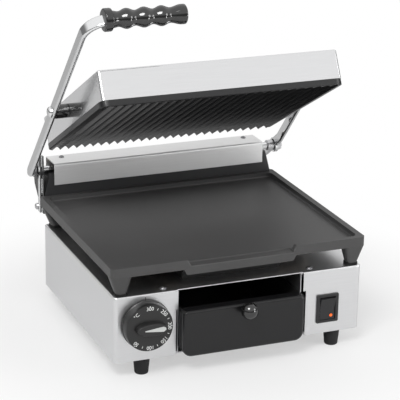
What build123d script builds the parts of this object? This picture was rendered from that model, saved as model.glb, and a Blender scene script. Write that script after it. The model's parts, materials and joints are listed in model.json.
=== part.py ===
"""Countertop contact grill with a lifting lid, drip drawer and thermostat.

Millimetres. Pieces are drawn about the centre of the body's footprint on the table,
with +Z up and the front of the grill towards -Y, and the lid stands open. The files
are written about the middle of the whole grill, arms and drawer knob included.
"""

from build123d import *

import math
import os

os.makedirs("parts", exist_ok=True)

# Body.
body_width = 280.0
body_depth = 232.0
body_height = 72.5
foot_height = 19.0
sheet = 1.2
corner_radius = 4.5
fold_radius = 1.8
lip_width = 22.0

# Levels of the body.
side_x = body_width / 2
front_y = -body_depth / 2
rear_y = body_depth / 2
base_z = foot_height
top_z = foot_height + body_height
floor_z = base_z + 2 * sheet

# Opening of the front for the drawer: a wider lower part and a narrower top.
panel_left = 68.0
panel_right = 64.5
panel_step_left = 1.5
panel_step_right = 3.1
opening_step = 51.0
opening_left = side_x - panel_left
opening_right = side_x - panel_right
opening_left_top = opening_left - panel_step_left
opening_right_top = opening_right - panel_step_right

# Feet.
foot_left_inset = 34.0
foot_right_inset = 27.0
foot_front_inset = 11.0
foot_top_radius = 9.0
foot_bottom_radius = 7.2
foot_edge_radius = 1.6
foot_left_x = -(side_x - foot_left_inset)
foot_right_x = side_x - foot_right_inset

# Drawer.
drawer_side_gap = 3.4
drawer_half_width = opening_left - drawer_side_gap
drawer_front_height = 51.5
drawer_lift = 1.0
drawer_front_depth = 12.4
drawer_corner = 9.0
drawer_sheet = 1.0
drawer_proud = 13.4
drawer_rear_room = 30.4
runner_gap = 0.6
ball_radius = 9.0
ball_height = 48.6
ball_neck = 2.6
ball_neck_radius = 3.2

# Thermostat and its knob.
knob_inset = 34.0
knob_x = -(side_x - knob_inset)
knob_height = 40.5
knob_radius = 26.5
knob_skirt = 12.6
knob_panel_gap = 1.2
grip_bar_length = 45.0
grip_bar_width = 15.0
grip_bar_rise = 6.2
pointer_length = 23.0
pointer_width = 5.6
spindle_radius = 3.0
thermostat_radius = 17.0
thermostat_depth = 26.0

# Rocker switch.
switch_inset = 38.8
switch_x = side_x - switch_inset
switch_height = 28.2
bezel_width = 25.7
bezel_height = 32.3
bezel_rise = 2.0
rocker_width = 17.6
rocker_height = 24.6
rocker_tilt = 7.0
lens_radius = 1.7

# Lower plate: it overhangs the body on every side.
plate_overhang = 3.2
plate_front_overhang = 1.0
plate_rear_overhang = 10.5
rim_above_body = 31.9
rim_height = 10.3
rim_side = 6.8
rim_front = 6.0
rim_rear = 12.0
rim_depth = 5.5
pan_corner = 7.0
plate_thickness = 7.5
plate_half_width = side_x + plate_overhang
plate_front_y = front_y - plate_front_overhang
plate_rear_y = rear_y + plate_rear_overhang
rim_z = top_z + rim_above_body
apron_z = rim_z - rim_height
surface_z = rim_z - rim_depth
under_z = surface_z - plate_thickness
pan_front = plate_front_y + rim_front
pan_rear = plate_rear_y - rim_rear
pan_half = plate_half_width - rim_side

# Spout, legs and pads of the lower plate.
spout_inset_left = 10.1
spout_inset_right = 8.1
spout_left = drawer_half_width - spout_inset_left
spout_right = drawer_half_width - spout_inset_right
spout_floor_drop = 1.4
lip_drop = 6.1
leg_top_width = 23.7
leg_top_depth = 17.0
leg_foot_width = 11.5
leg_foot_depth = 12.0
leg_slope = 6.7
pad_thickness = 2.5

# Heating elements: four rows under each plate.
element_radius = 4.0
element_gap = 0.1
element_side_inset = 39.2
element_front_inset = 45.0
element_rear_inset = 48.5
element_half_span = plate_half_width - element_side_inset
element_first = plate_front_y + element_front_inset
element_last = plate_rear_y - element_rear_inset
element_step = (element_last - element_first) / 3
bulb_offset = 12.0
passage_y = element_first + 2 * element_step + bulb_offset

# Hinge.
hinge_setback = 7.9
hinge_rise = 26.9
hinge_y = plate_rear_y + hinge_setback
hinge_z = rim_z + hinge_rise
block_end_inset = 4.8
block_end = plate_half_width - block_end_inset
shaft_radius = 4.0
running_gap = 0.04
bush_wall = 1.5
lug_inset = 34.4
lug_width = 14.0
lug_inner = block_end - lug_inset
bracket_thickness = 6.0

# Rear cover.
cover_end_inset = 11.0
cover_half_width = block_end - cover_end_inset
cover_front_reach = 15.4
cover_front = hinge_y - cover_front_reach
cover_depth = 32.0
cover_rise = 10.2
cover_top = hinge_z + cover_rise
cover_skirt = 25.0
cover_fold = 3.0

# Arms: both turn from the open to the closed position by the travel.
arm_angle = 47.35
arm_travel = 50.44
pivot_reach = 126.1
grip_reach = 296.0
lever_washer = 3.6
lever_inner_x = block_end + bracket_thickness + lever_washer
bar_thickness = 5.0
bar_width = 12.8
bar_bend_radius = 13.0
right_arm_gap = 8.6
right_arm_inner_x = block_end + right_arm_gap
right_arm_width = 12.0
pivot_bolt_radius = 4.0

# Handle grip.
grip_inset = 14.0
grip_length = 87.0
grip_start = -(lever_inner_x - grip_inset)
grip_end = grip_start + grip_length

# Lid: closed, its plate lies in the pan of the lower plate.
lid_tilt = 28.9
lid_side_inset = 9.2
lid_half_width = plate_half_width - lid_side_inset
closing_gap = 1.1
closing_side_gap = 0.9
lid_plate_half_width = pan_half - closing_side_gap
lid_plate_proud = 0.4
lid_plate_corner = 8.5
closed_angle = math.radians(arm_angle - arm_travel)
closed_pivot_y = hinge_y - pivot_reach * math.cos(closed_angle)
lid_front_reach = closed_pivot_y - pan_front - closing_gap - lid_plate_proud
lid_rear_inset = 25.4
lid_depth = plate_rear_y - lid_rear_inset - closed_pivot_y + lid_front_reach
lid_height = 31.7
lid_pivot_height = 17.5
lid_plate_drop = 7.0
rib_count = 28
rib_pitch = 2 * (lid_plate_half_width - lid_plate_proud) / rib_count
rib_depth = 4.0
rib_border = 13.0


def block(x_range, y_range, z_range):
    """Box between two stations along each axis."""
    size = [high - low for low, high in (x_range, y_range, z_range)]
    centre = [(high + low) / 2 for low, high in (x_range, y_range, z_range)]
    return Pos(*centre) * Box(*size)


def rod(axis, start, end, centre, radius):
    """Cylinder along "x", "y" or "z" between two stations."""
    length = end - start
    middle = (start + end) / 2
    if axis == "x":
        return Pos(middle, centre[0], centre[1]) * Rot(0, 90, 0) * Cylinder(radius, length)
    if axis == "y":
        return Pos(centre[0], middle, centre[1]) * Rot(90, 0, 0) * Cylinder(radius, length)
    return Pos(centre[0], centre[1], middle) * Cylinder(radius, length)


def outline(points):
    """Closed face through points of a sketch plane."""
    return make_face(Polyline(*points, close=True))


def across(profile, x_start, x_end):
    """Solid of a profile in (Y, Z), between two X stations."""
    return Pos(x_start, 0, 0) * extrude(Plane.YZ * profile, x_end - x_start)


def lengthwise(profile, y_front, y_back):
    """Solid of a profile in (X, Z), between two Y stations."""
    plane = Plane(origin=(0, y_back, 0), x_dir=(1, 0, 0), z_dir=(0, -1, 0))
    return extrude(plane * profile, y_back - y_front)


def hexagon(axis, start, end, centre, flats):
    """Hexagonal prism along "x" or "z", given across its flats."""
    prism = extrude(RegularPolygon(flats / 2, 6, major_radius=False), end - start)
    if axis == "x":
        return Pos(start, centre[0], centre[1]) * Rot(0, 90, 0) * prism
    return Pos(centre[0], centre[1], start) * prism


def dome(radius, height):
    """Button head that stands on z = 0, with a small flat on top."""
    half = Polyline((0, 0), (radius, 0), (radius, height * 0.25))
    crown = ThreePointArc(
        (radius, height * 0.25),
        (radius * 0.78, height * 0.75),
        (radius * 0.3, height),
    )
    close = Polyline((radius * 0.3, height), (0, height), (0, 0))
    return revolve(Plane.XZ * make_face([half, crown, close]), Axis.Z)


def screw_down(x, y, z_seat, length, radius, head_radius, head_height):
    """Screw that enters downwards and whose domed head seats at z_seat."""
    shank = rod("z", z_seat - length, z_seat, (x, y), radius)
    return shank + Pos(x, y, z_seat) * dome(head_radius, head_height)


def screw_up(x, y, z_seat, length, radius, head_radius, head_height):
    """Screw that enters upwards and whose domed head hangs at z_seat."""
    shank = rod("z", z_seat, z_seat + length, (x, y), radius)
    return shank + Pos(x, y, z_seat) * Rot(180, 0, 0) * dome(head_radius, head_height)


def on_arm(piece):
    """Place a piece drawn with the hinge at the origin and the arm level along -Y."""
    return Pos(0, hinge_y, hinge_z) * Rot(-arm_angle, 0, 0) * piece


pivot_y = hinge_y - pivot_reach * math.cos(math.radians(arm_angle))
pivot_z = hinge_z + pivot_reach * math.sin(math.radians(arm_angle))


def on_lid(piece):
    """Place a piece drawn level with the lid pivot at the origin."""
    return Pos(0, pivot_y, pivot_z) * Rot(-lid_tilt, 0, 0) * piece


pieces = {}

# Base shell.
shell_outer = block((-side_x, side_x), (front_y, rear_y), (base_z, top_z))
shell_outer = fillet(shell_outer.edges().filter_by(Axis.Z).group_by(Axis.Y)[0], corner_radius)
top_bends = shell_outer.faces().sort_by(Axis.Z)[-1].edges().filter_by(
    lambda edge: edge.center().Y < rear_y - 1
)
shell_outer = fillet(top_bends, fold_radius)
inside_x = side_x - sheet
inside_front = front_y + sheet
shell_inner = block(
    (-inside_x, inside_x), (inside_front, rear_y + 1), (base_z - 1, top_z - sheet)
)
shell_inner = fillet(
    shell_inner.edges().filter_by(Axis.Z).group_by(Axis.Y)[0], corner_radius - sheet
)
base_shell = shell_outer - shell_inner

lip_outer = block((-inside_x, inside_x), (inside_front, rear_y), (base_z, base_z + sheet))
lip_outer = fillet(
    lip_outer.edges().filter_by(Axis.Z).group_by(Axis.Y)[0], corner_radius - sheet
)
lip_hole = block(
    (-side_x + lip_width, side_x - lip_width),
    (front_y + lip_width, rear_y - lip_width),
    (base_z - 1, top_z),
)
base_shell += lip_outer - lip_hole

step_z = base_z + opening_step
front_cut = (front_y - 1, front_y + lip_width + 1)
base_shell -= block((-opening_left, opening_right), front_cut, (base_z - 1, step_z))
base_shell -= block(
    (-opening_left_top, opening_right_top), front_cut, (step_z - 1, top_z - sheet)
)
base_shell -= block(
    (-opening_left_top, opening_right_top),
    (front_y - 1, front_y + fold_radius),
    (step_z, top_z + 1),
)

knob_z = base_z + knob_height
switch_z = base_z + switch_height
spindle_hole = spindle_radius + 1.2
base_shell -= rod("y", front_y - 1, front_y + 5, (knob_x, knob_z), spindle_hole)
cut_width = bezel_width - 3.4
cut_height = bezel_height - 3.8
base_shell -= block(
    (switch_x - cut_width / 2, switch_x + cut_width / 2),
    (front_y - 1, front_y + 5),
    (switch_z - cut_height / 2, switch_z + cut_height / 2),
)

# Holes of the top: runner screws, leg bolts, and the passage to the elements.
runner_screw_offset = 14.6
runner_screw_x = drawer_half_width + runner_screw_offset
runner_screw_inset = 10.3
sheet_screw_radius = 2.0
runner_screws_at = [
    (side * runner_screw_x, y)
    for side in (-1, 1)
    for y in (front_y + runner_screw_inset, rear_y - runner_screw_inset)
]
leg_x = plate_half_width - leg_slope - leg_foot_width / 2
leg_front_y = plate_front_y + 3.0 + leg_foot_depth / 2
leg_rear_y = rear_y - 3.0 - leg_foot_depth / 2
legs_at = [(side * leg_x, y) for side in (-1, 1) for y in (leg_front_y, leg_rear_y)]
leg_bolt_radius = 2.5
passage_radius = 9.0
hole_gap = 0.3
for x, y in runner_screws_at:
    base_shell -= rod("z", top_z - 3, top_z + 1, (x, y), sheet_screw_radius + hole_gap)
for x, y in legs_at:
    base_shell -= rod("z", top_z - 3, top_z + 1, (x, y), leg_bolt_radius + hole_gap)
base_shell -= rod("z", top_z - 3, top_z + 1, (0, passage_y), passage_radius)

# Feet pass their screws through the bottom lips and the bottom plate.
foot_front_y = front_y + foot_front_inset
foot_rear_y = rear_y - foot_front_inset
feet = {
    "foot_front_left": (foot_left_x, foot_front_y),
    "foot_front_right": (foot_right_x, foot_front_y),
    "foot_rear_left": (foot_left_x, foot_rear_y),
    "foot_rear_right": (foot_right_x, foot_rear_y),
}
foot_screw_radius = 2.0
for x, y in feet.values():
    base_shell -= rod("z", base_z - 1, base_z + 3, (x, y), foot_screw_radius + hole_gap)

# Screws that hold the bottom plate to the side lips, from below.
bottom_screw_inset = 9.0
bottom_screws_at = [
    (side * (side_x - bottom_screw_inset), y) for side in (-1, 1) for y in (-55.0, 55.0)
]
for x, y in bottom_screws_at:
    base_shell -= rod("z", base_z - 1, base_z + 3, (x, y), sheet_screw_radius + hole_gap)
pieces["base_shell"] = base_shell

# Bottom and back.
edge_gap = 0.2
bottom = block(
    (-inside_x + edge_gap, inside_x - edge_gap),
    (inside_front + edge_gap, rear_y - sheet - edge_gap),
    (base_z + sheet, floor_z),
)
bottom = fillet(bottom.edges().filter_by(Axis.Z).group_by(Axis.Y)[0], corner_radius - sheet)
slot_pitch = 9.0
slot_width = 3.2
slot_length = 42.0
slot_inset = 39.0
for side in (-1, 1):
    for index in range(6):
        slot = block((-slot_length / 2, slot_length / 2), (-slot_width / 2, slot_width / 2), (-5, 5))
        slot = fillet(slot.edges().filter_by(Axis.Z), slot_width / 2 - 0.1)
        place_y = (index - 2.5) * slot_pitch
        bottom -= Pos(side * (side_x - slot_inset), place_y, floor_z) * slot
for x, y in list(feet.values()):
    bottom -= rod("z", base_z, floor_z + 1, (x, y), foot_screw_radius + hole_gap)
for x, y in bottom_screws_at:
    bottom -= rod("z", base_z, floor_z + 1, (x, y), sheet_screw_radius + running_gap)
pieces["base_bottom_plate"] = bottom

# Rear panel: stands on the bottom lip and reaches the top sheet.
gland_inset = 36.0
gland_x = side_x - gland_inset
gland_z = base_z + 24.0
gland_radius = 8.0
rear_panel = block(
    (-inside_x + edge_gap, inside_x - edge_gap),
    (rear_y - sheet, rear_y),
    (base_z + sheet, top_z - sheet),
)
panel_flange = 12.0
panel_flange_half = leg_x - 12.0
rear_panel += block(
    (-panel_flange_half, panel_flange_half),
    (rear_y - sheet - panel_flange, rear_y - sheet),
    (top_z - 2 * sheet, top_z - sheet),
)
rear_panel -= rod("y", rear_y - 5, rear_y + 1, (gland_x, gland_z), gland_radius)
vent_height = 26.0
for side in (-1, 1):
    for index in range(9):
        vent = block((-slot_width / 2, slot_width / 2), (-5, 5), (-vent_height / 2, vent_height / 2))
        vent = fillet(vent.edges().filter_by(Axis.Y), slot_width / 2 - 0.1)
        place_x = side * 38.0 + (index - 4) * 7.5
        rear_panel -= Pos(place_x, rear_y, base_z + body_height / 2) * vent
for x, y in runner_screws_at:
    if y > 0:
        rear_panel -= rod("z", top_z - 4, top_z, (x, y), sheet_screw_radius + hole_gap)
pieces["base_rear_panel"] = rear_panel

# Feet.
foot_bore = 3.9
foot_bore_depth = 11.0
foot_profile = outline(
    [(0, 0), (foot_bottom_radius, 0), (foot_top_radius, foot_height), (0, foot_height)]
)
foot = revolve(Plane.XZ * foot_profile, Axis.Z)
foot = fillet(foot.edges().group_by(Axis.Z)[0], foot_edge_radius)
foot -= rod("z", -1, foot_bore_depth, (0, 0), foot_bore)
foot -= rod("z", 0, foot_height + 1, (0, 0), foot_screw_radius + running_gap)
for name, (x, y) in feet.items():
    pieces[name] = Pos(x, y, 0) * foot

foot_nut_height = 3.2
foot_screws = []
for x, y in feet.values():
    length = floor_z + foot_nut_height + 1.0 - foot_bore_depth
    screw = screw_up(x, y, foot_bore_depth, length, foot_screw_radius, 3.6, 2.4)
    nut = hexagon("z", floor_z, floor_z + foot_nut_height, (x, y), 7.0)
    foot_screws.append(screw + nut)
pieces["foot_screws"] = Compound(children=foot_screws)

# Drawer runners.
runner_wall_x = drawer_half_width + runner_gap
runner_foot = 10.0
runner_top_flange = runner_screw_x + 7.0 - runner_wall_x
runner_front = inside_front + edge_gap
runner_rear = rear_y - sheet - panel_flange - edge_gap
runner_top_z = top_z - sheet


def runner(side):
    """Folded runner wall with a foot flange and a screwed top flange."""
    points = [
        (runner_wall_x, floor_z),
        (runner_wall_x + runner_foot, floor_z),
        (runner_wall_x + runner_foot, floor_z + drawer_sheet),
        (runner_wall_x + drawer_sheet, floor_z + drawer_sheet),
        (runner_wall_x + drawer_sheet, runner_top_z - drawer_sheet),
        (runner_wall_x + runner_top_flange, runner_top_z - drawer_sheet),
        (runner_wall_x + runner_top_flange, runner_top_z),
        (runner_wall_x, runner_top_z),
    ]
    return lengthwise(outline([(side * x, z) for x, z in points]), runner_front, runner_rear)


for side, name in ((-1, "drawer_runner_left"), (1, "drawer_runner_right")):
    part = runner(side)
    for x, y in runner_screws_at:
        part -= rod("z", top_z - 4, top_z, (x, y), sheet_screw_radius + running_gap)
    pieces[name] = part

sheet_screw_length = 7.0
sheet_screws = []
for x, y in runner_screws_at:
    sheet_screws.append(
        screw_down(x, y, top_z, sheet_screw_length, sheet_screw_radius, 3.6, 2.0)
    )
for x, y in bottom_screws_at:
    sheet_screws.append(
        screw_up(x, y, base_z, sheet_screw_length, sheet_screw_radius, 3.6, 2.0)
    )
pieces["sheet_screws"] = Compound(children=sheet_screws)

# Drawer.
drawer_z = base_z + drawer_lift
drawer_face_y = front_y - drawer_proud
drawer_top_z = drawer_z + drawer_front_height


def tray_profile(half_width, bottom, top, radius):
    """Flat-topped U outline with rounded lower corners."""
    lower = RectangleRounded(2 * half_width, 2 * (top - bottom), radius)
    upper_half = Pos(0, (top - bottom) / 2) * Rectangle(4 * half_width, top - bottom)
    return Pos(0, top) * (lower - upper_half)


front_skin = drawer_sheet
front_piece = lengthwise(
    tray_profile(drawer_half_width, drawer_z, drawer_top_z, drawer_corner),
    drawer_face_y,
    drawer_face_y + drawer_front_depth,
)
face_edges = front_piece.faces().sort_by(Axis.Y)[0].edges()
front_piece = fillet(face_edges, 0.9)
front_piece -= lengthwise(
    tray_profile(
        drawer_half_width - front_skin,
        drawer_z + front_skin,
        drawer_top_z + 1,
        drawer_corner - front_skin,
    ),
    drawer_face_y + front_skin,
    drawer_face_y + drawer_front_depth + 1,
)
ball_z = base_z + ball_height
stud_radius = 2.0
front_piece -= rod(
    "y", drawer_face_y - 1, drawer_face_y + 5, (0, ball_z), stud_radius + running_gap
)
pieces["drawer_front"] = front_piece

tray_gap = 0.1
tray_half_width = drawer_half_width - front_skin - tray_gap
tray_bottom = floor_z + 0.3
tray_top = drawer_top_z - 0.5
tray_front = drawer_face_y + front_skin
tray_rear = rear_y - drawer_rear_room
tray = lengthwise(
    tray_profile(tray_half_width, tray_bottom, tray_top, drawer_corner - front_skin - tray_gap),
    tray_front,
    tray_rear,
)
tray -= lengthwise(
    tray_profile(
        tray_half_width - drawer_sheet,
        tray_bottom + drawer_sheet,
        tray_top + 1,
        drawer_corner - front_skin - tray_gap - drawer_sheet,
    ),
    tray_front + drawer_sheet,
    tray_rear - drawer_sheet,
)
tray -= rod("y", tray_front - 1, tray_front + 5, (0, ball_z), stud_radius + running_gap)
pieces["drip_tray"] = tray

ball_y = drawer_face_y - ball_neck - ball_radius + 1.0
ball = Pos(0, ball_y, ball_z) * Sphere(ball_radius)
ball += rod("y", ball_y, drawer_face_y, (0, ball_z), ball_neck_radius)
ball += rod("y", ball_y, tray_front + drawer_sheet + 4.0, (0, ball_z), stud_radius)
ball += rod(
    "y", tray_front + drawer_sheet, tray_front + drawer_sheet + 2.4, (0, ball_z), 3.3
)
pieces["drawer_knob"] = ball

# Thermostat.
knob_back = front_y - knob_panel_gap
knob_face = knob_back - knob_skirt
skirt_profile = make_face(
    [
        Polyline((0, 0), (knob_radius, 0), (knob_radius, 2.5)),
        ThreePointArc(
            (knob_radius, 2.5), (knob_radius - 0.9, knob_skirt * 0.6), (knob_radius - 3.0, knob_skirt)
        ),
        Polyline((knob_radius - 3.0, knob_skirt), (0, knob_skirt), (0, 0)),
    ]
)
skirt = revolve(Plane.XZ * skirt_profile, Axis.Z)
skirt = fillet(skirt.edges().group_by(Axis.Z)[-1], 1.2)
bore_profile = outline([(0, -1), (knob_radius - 2.5, -1), (knob_radius - 4.5, 8.0), (0, 8.0)])
skirt -= revolve(Plane.XZ * bore_profile, Axis.Z)
skirt += rod("z", 0.6, 9.0, (0, 0), 7.0)
bar = extrude(SlotOverall(grip_bar_length, grip_bar_width), grip_bar_rise + 1.0)
bar = fillet(bar.edges().group_by(Axis.Z)[-1], 2.2)
skirt += Pos(0, 0, knob_skirt - 1.0) * bar
pointer_depth = 1.4
pointer_shape = make_face(
    [
        Line((-pointer_length / 2, -1.0), (pointer_length / 2 - 2.8, -pointer_width / 2)),
        ThreePointArc(
            (pointer_length / 2 - 2.8, -pointer_width / 2),
            (pointer_length / 2, 0),
            (pointer_length / 2 - 2.8, pointer_width / 2),
        ),
        Line((pointer_length / 2 - 2.8, pointer_width / 2), (-pointer_length / 2, 1.0)),
        Line((-pointer_length / 2, 1.0), (-pointer_length / 2, -1.0)),
    ]
)
pointer = Pos(4.0, 0, knob_skirt + grip_bar_rise - pointer_depth) * extrude(
    pointer_shape, pointer_depth + 0.3
)
skirt -= Pos(4.0, 0, knob_skirt + grip_bar_rise - pointer_depth) * extrude(pointer_shape, 5)
skirt -= rod("z", 0, 9.0, (0, 0), spindle_radius)
at_knob = Pos(knob_x, knob_back, knob_z) * Rot(90, 0, 0)
pieces["thermostat_knob"] = at_knob * skirt
pieces["knob_pointer"] = at_knob * pointer

spindle_rear = inside_front + 14.0
pieces["thermostat_spindle"] = rod(
    "y", knob_back - 9.0, spindle_rear, (knob_x, knob_z), spindle_radius
)
thermostat = rod(
    "y", inside_front, inside_front + thermostat_depth, (knob_x, knob_z), thermostat_radius
)
terminal_width = 6.3
for offset in (-8.0, 8.0):
    thermostat += block(
        (knob_x + offset - terminal_width / 2, knob_x + offset + terminal_width / 2),
        (inside_front + thermostat_depth - 1, inside_front + thermostat_depth + 8),
        (knob_z - 0.4, knob_z + 0.4),
    )
thermostat -= rod(
    "y", inside_front - 1, spindle_rear + 0.3, (knob_x, knob_z), spindle_radius + running_gap
)
pieces["thermostat_body"] = thermostat

# Capillary tube: from the thermostat, over the drawer, to the bulb under the plate.
capillary_radius = 1.2
capillary_z = knob_z + 18.0
capillary_x = -5.0
capillary_turn_y = 10.0
bulb_radius = 3.0
bulb_length = 55.0
bulb_start_x = capillary_x - 15.0
bulb_z = under_z - bulb_radius
cap_start = (knob_x, inside_front + thermostat_depth, knob_z - 10.0)
cap_points = [
    cap_start,
    (knob_x, inside_front + thermostat_depth + 30.0, knob_z - 10.0),
    (knob_x, capillary_turn_y, capillary_z),
    (capillary_x, passage_y, capillary_z),
    (capillary_x, passage_y, bulb_z),
    (bulb_start_x, passage_y, bulb_z),
]
cap_path = FilletPolyline(*cap_points, radius=7.0)
cap_section = Plane(origin=cap_start, z_dir=(0, 1, 0)) * Circle(capillary_radius)
capillary = sweep(cap_section, path=cap_path)
capillary += rod("x", bulb_start_x - bulb_length, bulb_start_x, (passage_y, bulb_z), bulb_radius)
pieces["thermostat_capillary"] = capillary
wall_share = (-runner_wall_x - knob_x) / (capillary_x - knob_x)
wall_hole_y = capillary_turn_y + wall_share * (passage_y - capillary_turn_y)
pieces["drawer_runner_left"] -= rod(
    "x", -runner_wall_x - 3, -runner_wall_x + 1, (wall_hole_y, capillary_z), capillary_radius + 2.5
)

# Rocker switch.
bezel = block(
    (switch_x - bezel_width / 2, switch_x + bezel_width / 2),
    (front_y - bezel_rise, front_y),
    (switch_z - bezel_height / 2, switch_z + bezel_height / 2),
)
bezel = fillet(bezel.edges().filter_by(Axis.Y), 1.5)
bezel = chamfer(bezel.faces().sort_by(Axis.Y)[0].edges(), 0.6)
switch_depth = 20.0
fit_gap = 0.15
switch_body = block(
    (switch_x - cut_width / 2 + fit_gap, switch_x + cut_width / 2 - fit_gap),
    (front_y, inside_front + switch_depth),
    (switch_z - cut_height / 2 + fit_gap, switch_z + cut_height / 2 - fit_gap),
)
housing = bezel + switch_body
well_half_width = rocker_width / 2 + 0.35
well_half_height = rocker_height / 2 + 0.7
rocker_axis_y = front_y + 3.0
housing -= block(
    (switch_x - well_half_width, switch_x + well_half_width),
    (front_y - 5, front_y + 12.0),
    (switch_z - well_half_height, switch_z + well_half_height),
)
for offset in (-6.0, 6.0):
    housing += block(
        (switch_x - 3.15, switch_x + 3.15),
        (inside_front + switch_depth - 1, inside_front + switch_depth + 8),
        (switch_z + offset - 0.4, switch_z + offset + 0.4),
    )
pin_radius = 1.2
for side in (-1, 1):
    inner = switch_x + side * (well_half_width - 1.6)
    outer = switch_x + side * (well_half_width + 0.6)
    low, high = min(inner, outer), max(inner, outer)
    housing += rod("x", low, high, (rocker_axis_y, switch_z), pin_radius)
pieces["rocker_housing"] = housing

# The rocker is drawn level about its pin, with two slightly dished faces.
half_height = rocker_height / 2
rocker_profile = outline(
    [
        (-5.6, -half_height),
        (-3.8, 0),
        (-5.6, half_height),
        (1.0, half_height),
        (5.0, 3.0),
        (5.0, -3.0),
        (1.0, -half_height),
    ]
)
rocker = across(rocker_profile, switch_x - rocker_width / 2, switch_x + rocker_width / 2)
for side in (-1, 1):
    inner = switch_x + side * (rocker_width / 2 - 1.8)
    outer = switch_x + side * (rocker_width / 2 + 1.0)
    low, high = min(inner, outer), max(inner, outer)
    rocker -= rod("x", low, high, (0, 0), pin_radius + running_gap)
lens_offset = (4.4, -8.0)
lens_front = -3.8 - 1.8 * abs(lens_offset[1]) / half_height
lens_hole = rod(
    "y", lens_front - 2, lens_front + 2.2, (switch_x + lens_offset[0], lens_offset[1]), lens_radius
)
rocker -= lens_hole
lens = rod(
    "y",
    lens_front - 0.3,
    lens_front + 2.2,
    (switch_x + lens_offset[0], lens_offset[1]),
    lens_radius,
)
at_rocker = Pos(0, rocker_axis_y, switch_z) * Rot(rocker_tilt, 0, 0)
pieces["rocker_button"] = at_rocker * rocker
pieces["rocker_lens"] = at_rocker * lens

# Terminal block and gland.
terminal_inset = 54.0
terminal_x = gland_x
terminal_y = rear_y - terminal_inset
terminal = block(
    (terminal_x - 19, terminal_x + 19), (terminal_y - 8, terminal_y + 8), (floor_z, floor_z + 13)
)
for index in (-1, 0, 1):
    place_x = terminal_x + index * 12.0
    terminal -= rod("y", terminal_y - 9, terminal_y + 9, (place_x, floor_z + 5.5), 2.6)
    for end in (-4.0, 4.0):
        terminal -= rod("z", floor_z + 9.5, floor_z + 14, (place_x, terminal_y + end), 2.2)
pieces["terminal_block"] = terminal

gland_bore = 3.6
gland = rod("y", rear_y - sheet - 7.0, rear_y, (gland_x, gland_z), gland_radius - 0.15)
gland += rod("y", rear_y, rear_y + 3.0, (gland_x, gland_z), 11.0)
nose = Pos(gland_x, rear_y + 3.0, gland_z) * Rot(-90, 0, 0) * Pos(0, 0, 6.0) * Cone(8.5, 6.2, 12.0)
gland += nose
lock_nut = Pos(gland_x, rear_y - sheet, gland_z) * Rot(90, 0, 0) * extrude(
    RegularPolygon(11.0, 6, major_radius=False), 4.0
)
gland += lock_nut
gland -= rod("y", rear_y - 20, rear_y + 20, (gland_x, gland_z), gland_bore)
pieces["cord_gland"] = gland

# Lower plate.
plate = block(
    (-plate_half_width, plate_half_width), (plate_front_y, plate_rear_y), (apron_z, rim_z)
)
plate = fillet(plate.edges().filter_by(Axis.Z), 5.0)
core_inset = 8.0
plate += block(
    (-plate_half_width + core_inset, plate_half_width - core_inset),
    (plate_front_y + core_inset, plate_rear_y - core_inset),
    (under_z, apron_z + 1),
)
pan = block((-pan_half, pan_half), (pan_front, pan_rear), (surface_z, rim_z + 1))
pan = fillet(pan.edges().filter_by(Axis.Z), pan_corner)
pan = fillet(pan.edges().group_by(Axis.Z)[0], 2.0)

# Front lip: the apron hangs lower under the spout.
lip_half = 2.5
lip = lengthwise(
    fillet(
        outline(
            [
                (-spout_left - 6.0, apron_z + 1),
                (-spout_left - 2.5, apron_z - lip_drop),
                (spout_right - 1.5, apron_z - lip_drop),
                (spout_right + 2.5, apron_z + 1),
            ]
        ).vertices().group_by(Axis.Y)[0],
        lip_half,
    ),
    plate_front_y,
    plate_front_y + rim_front + 1.5,
)
plate += lip


def leg(side, y_top, y_foot):
    """Tapered leg from the apron down to its pad."""
    x_top = side * (plate_half_width - leg_top_width / 2)
    foot_z = top_z + pad_thickness
    upper = Pos(x_top, y_top, apron_z + 0.5) * RectangleRounded(leg_top_width, leg_top_depth, 4.9)
    lower = Pos(side * leg_x, y_foot, foot_z) * RectangleRounded(leg_foot_width, leg_foot_depth, 4.0)
    return loft([lower, upper])


for side in (-1, 1):
    plate += leg(side, plate_front_y + leg_top_depth / 2, leg_front_y)
    plate += leg(side, plate_rear_y - leg_top_depth / 2, leg_rear_y)
plate -= pan

spout_floor = surface_z - spout_floor_drop
spout_cut = lengthwise(
    outline(
        [
            (-spout_left - 2.5, rim_z + 1),
            (-spout_left + 2.5, spout_floor),
            (spout_right - 1.5, spout_floor),
            (spout_right + 1.5, rim_z + 1),
        ]
    ),
    plate_front_y - 1,
    pan_front + 4.0,
)
plate -= spout_cut

leg_bolt_depth = 14.0
for x, y in legs_at:
    plate -= rod(
        "z", top_z, top_z + pad_thickness + leg_bolt_depth, (x, y), leg_bolt_radius + running_gap
    )

# Element channel: one tube runs there and back four times under the surface.
element_z = under_z - element_radius + 2.0


def element_path(half_span, y_first, y_last, z):
    """Centre line of a heating tube with two return loops and turned-in ends."""
    step = (y_last - y_first) / 3
    reach = half_span - step / 2
    points = []
    for row in range(4):
        y = y_first + row * step
        ends = (-reach, reach) if row % 2 == 0 else (reach, -reach)
        points.append([(ends[0], y, z), (ends[1], y, z)])
    edges = []
    for row in range(4):
        edges.append(Line(*points[row]))
        if row < 3:
            start = points[row][1]
            end = points[row + 1][0]
            side = 1 if start[0] > 0 else -1
            crown = (start[0] + side * step / 2, (start[1] + end[1]) / 2, z)
            edges.append(ThreePointArc(start, crown, end))
    return Wire(edges)


def element_tube(path, start, radius):
    """Round tube along an element's centre line that starts along +X."""
    return sweep(Plane(origin=start, z_dir=(1, 0, 0)) * Circle(radius), path=path)


lower_path = element_path(element_half_span, element_first, element_last, element_z)
element_reach = element_half_span - element_step / 2
lower_start = (-element_reach, element_first, element_z)
plate -= element_tube(lower_path, lower_start, element_radius + element_gap)
plate -= rod(
    "x", -element_reach - 1, -element_reach, (element_first, element_z), element_radius + element_gap
)
last_side = -element_reach
plate -= rod("x", last_side - 1, last_side, (element_last, element_z), element_radius + element_gap)

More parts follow.
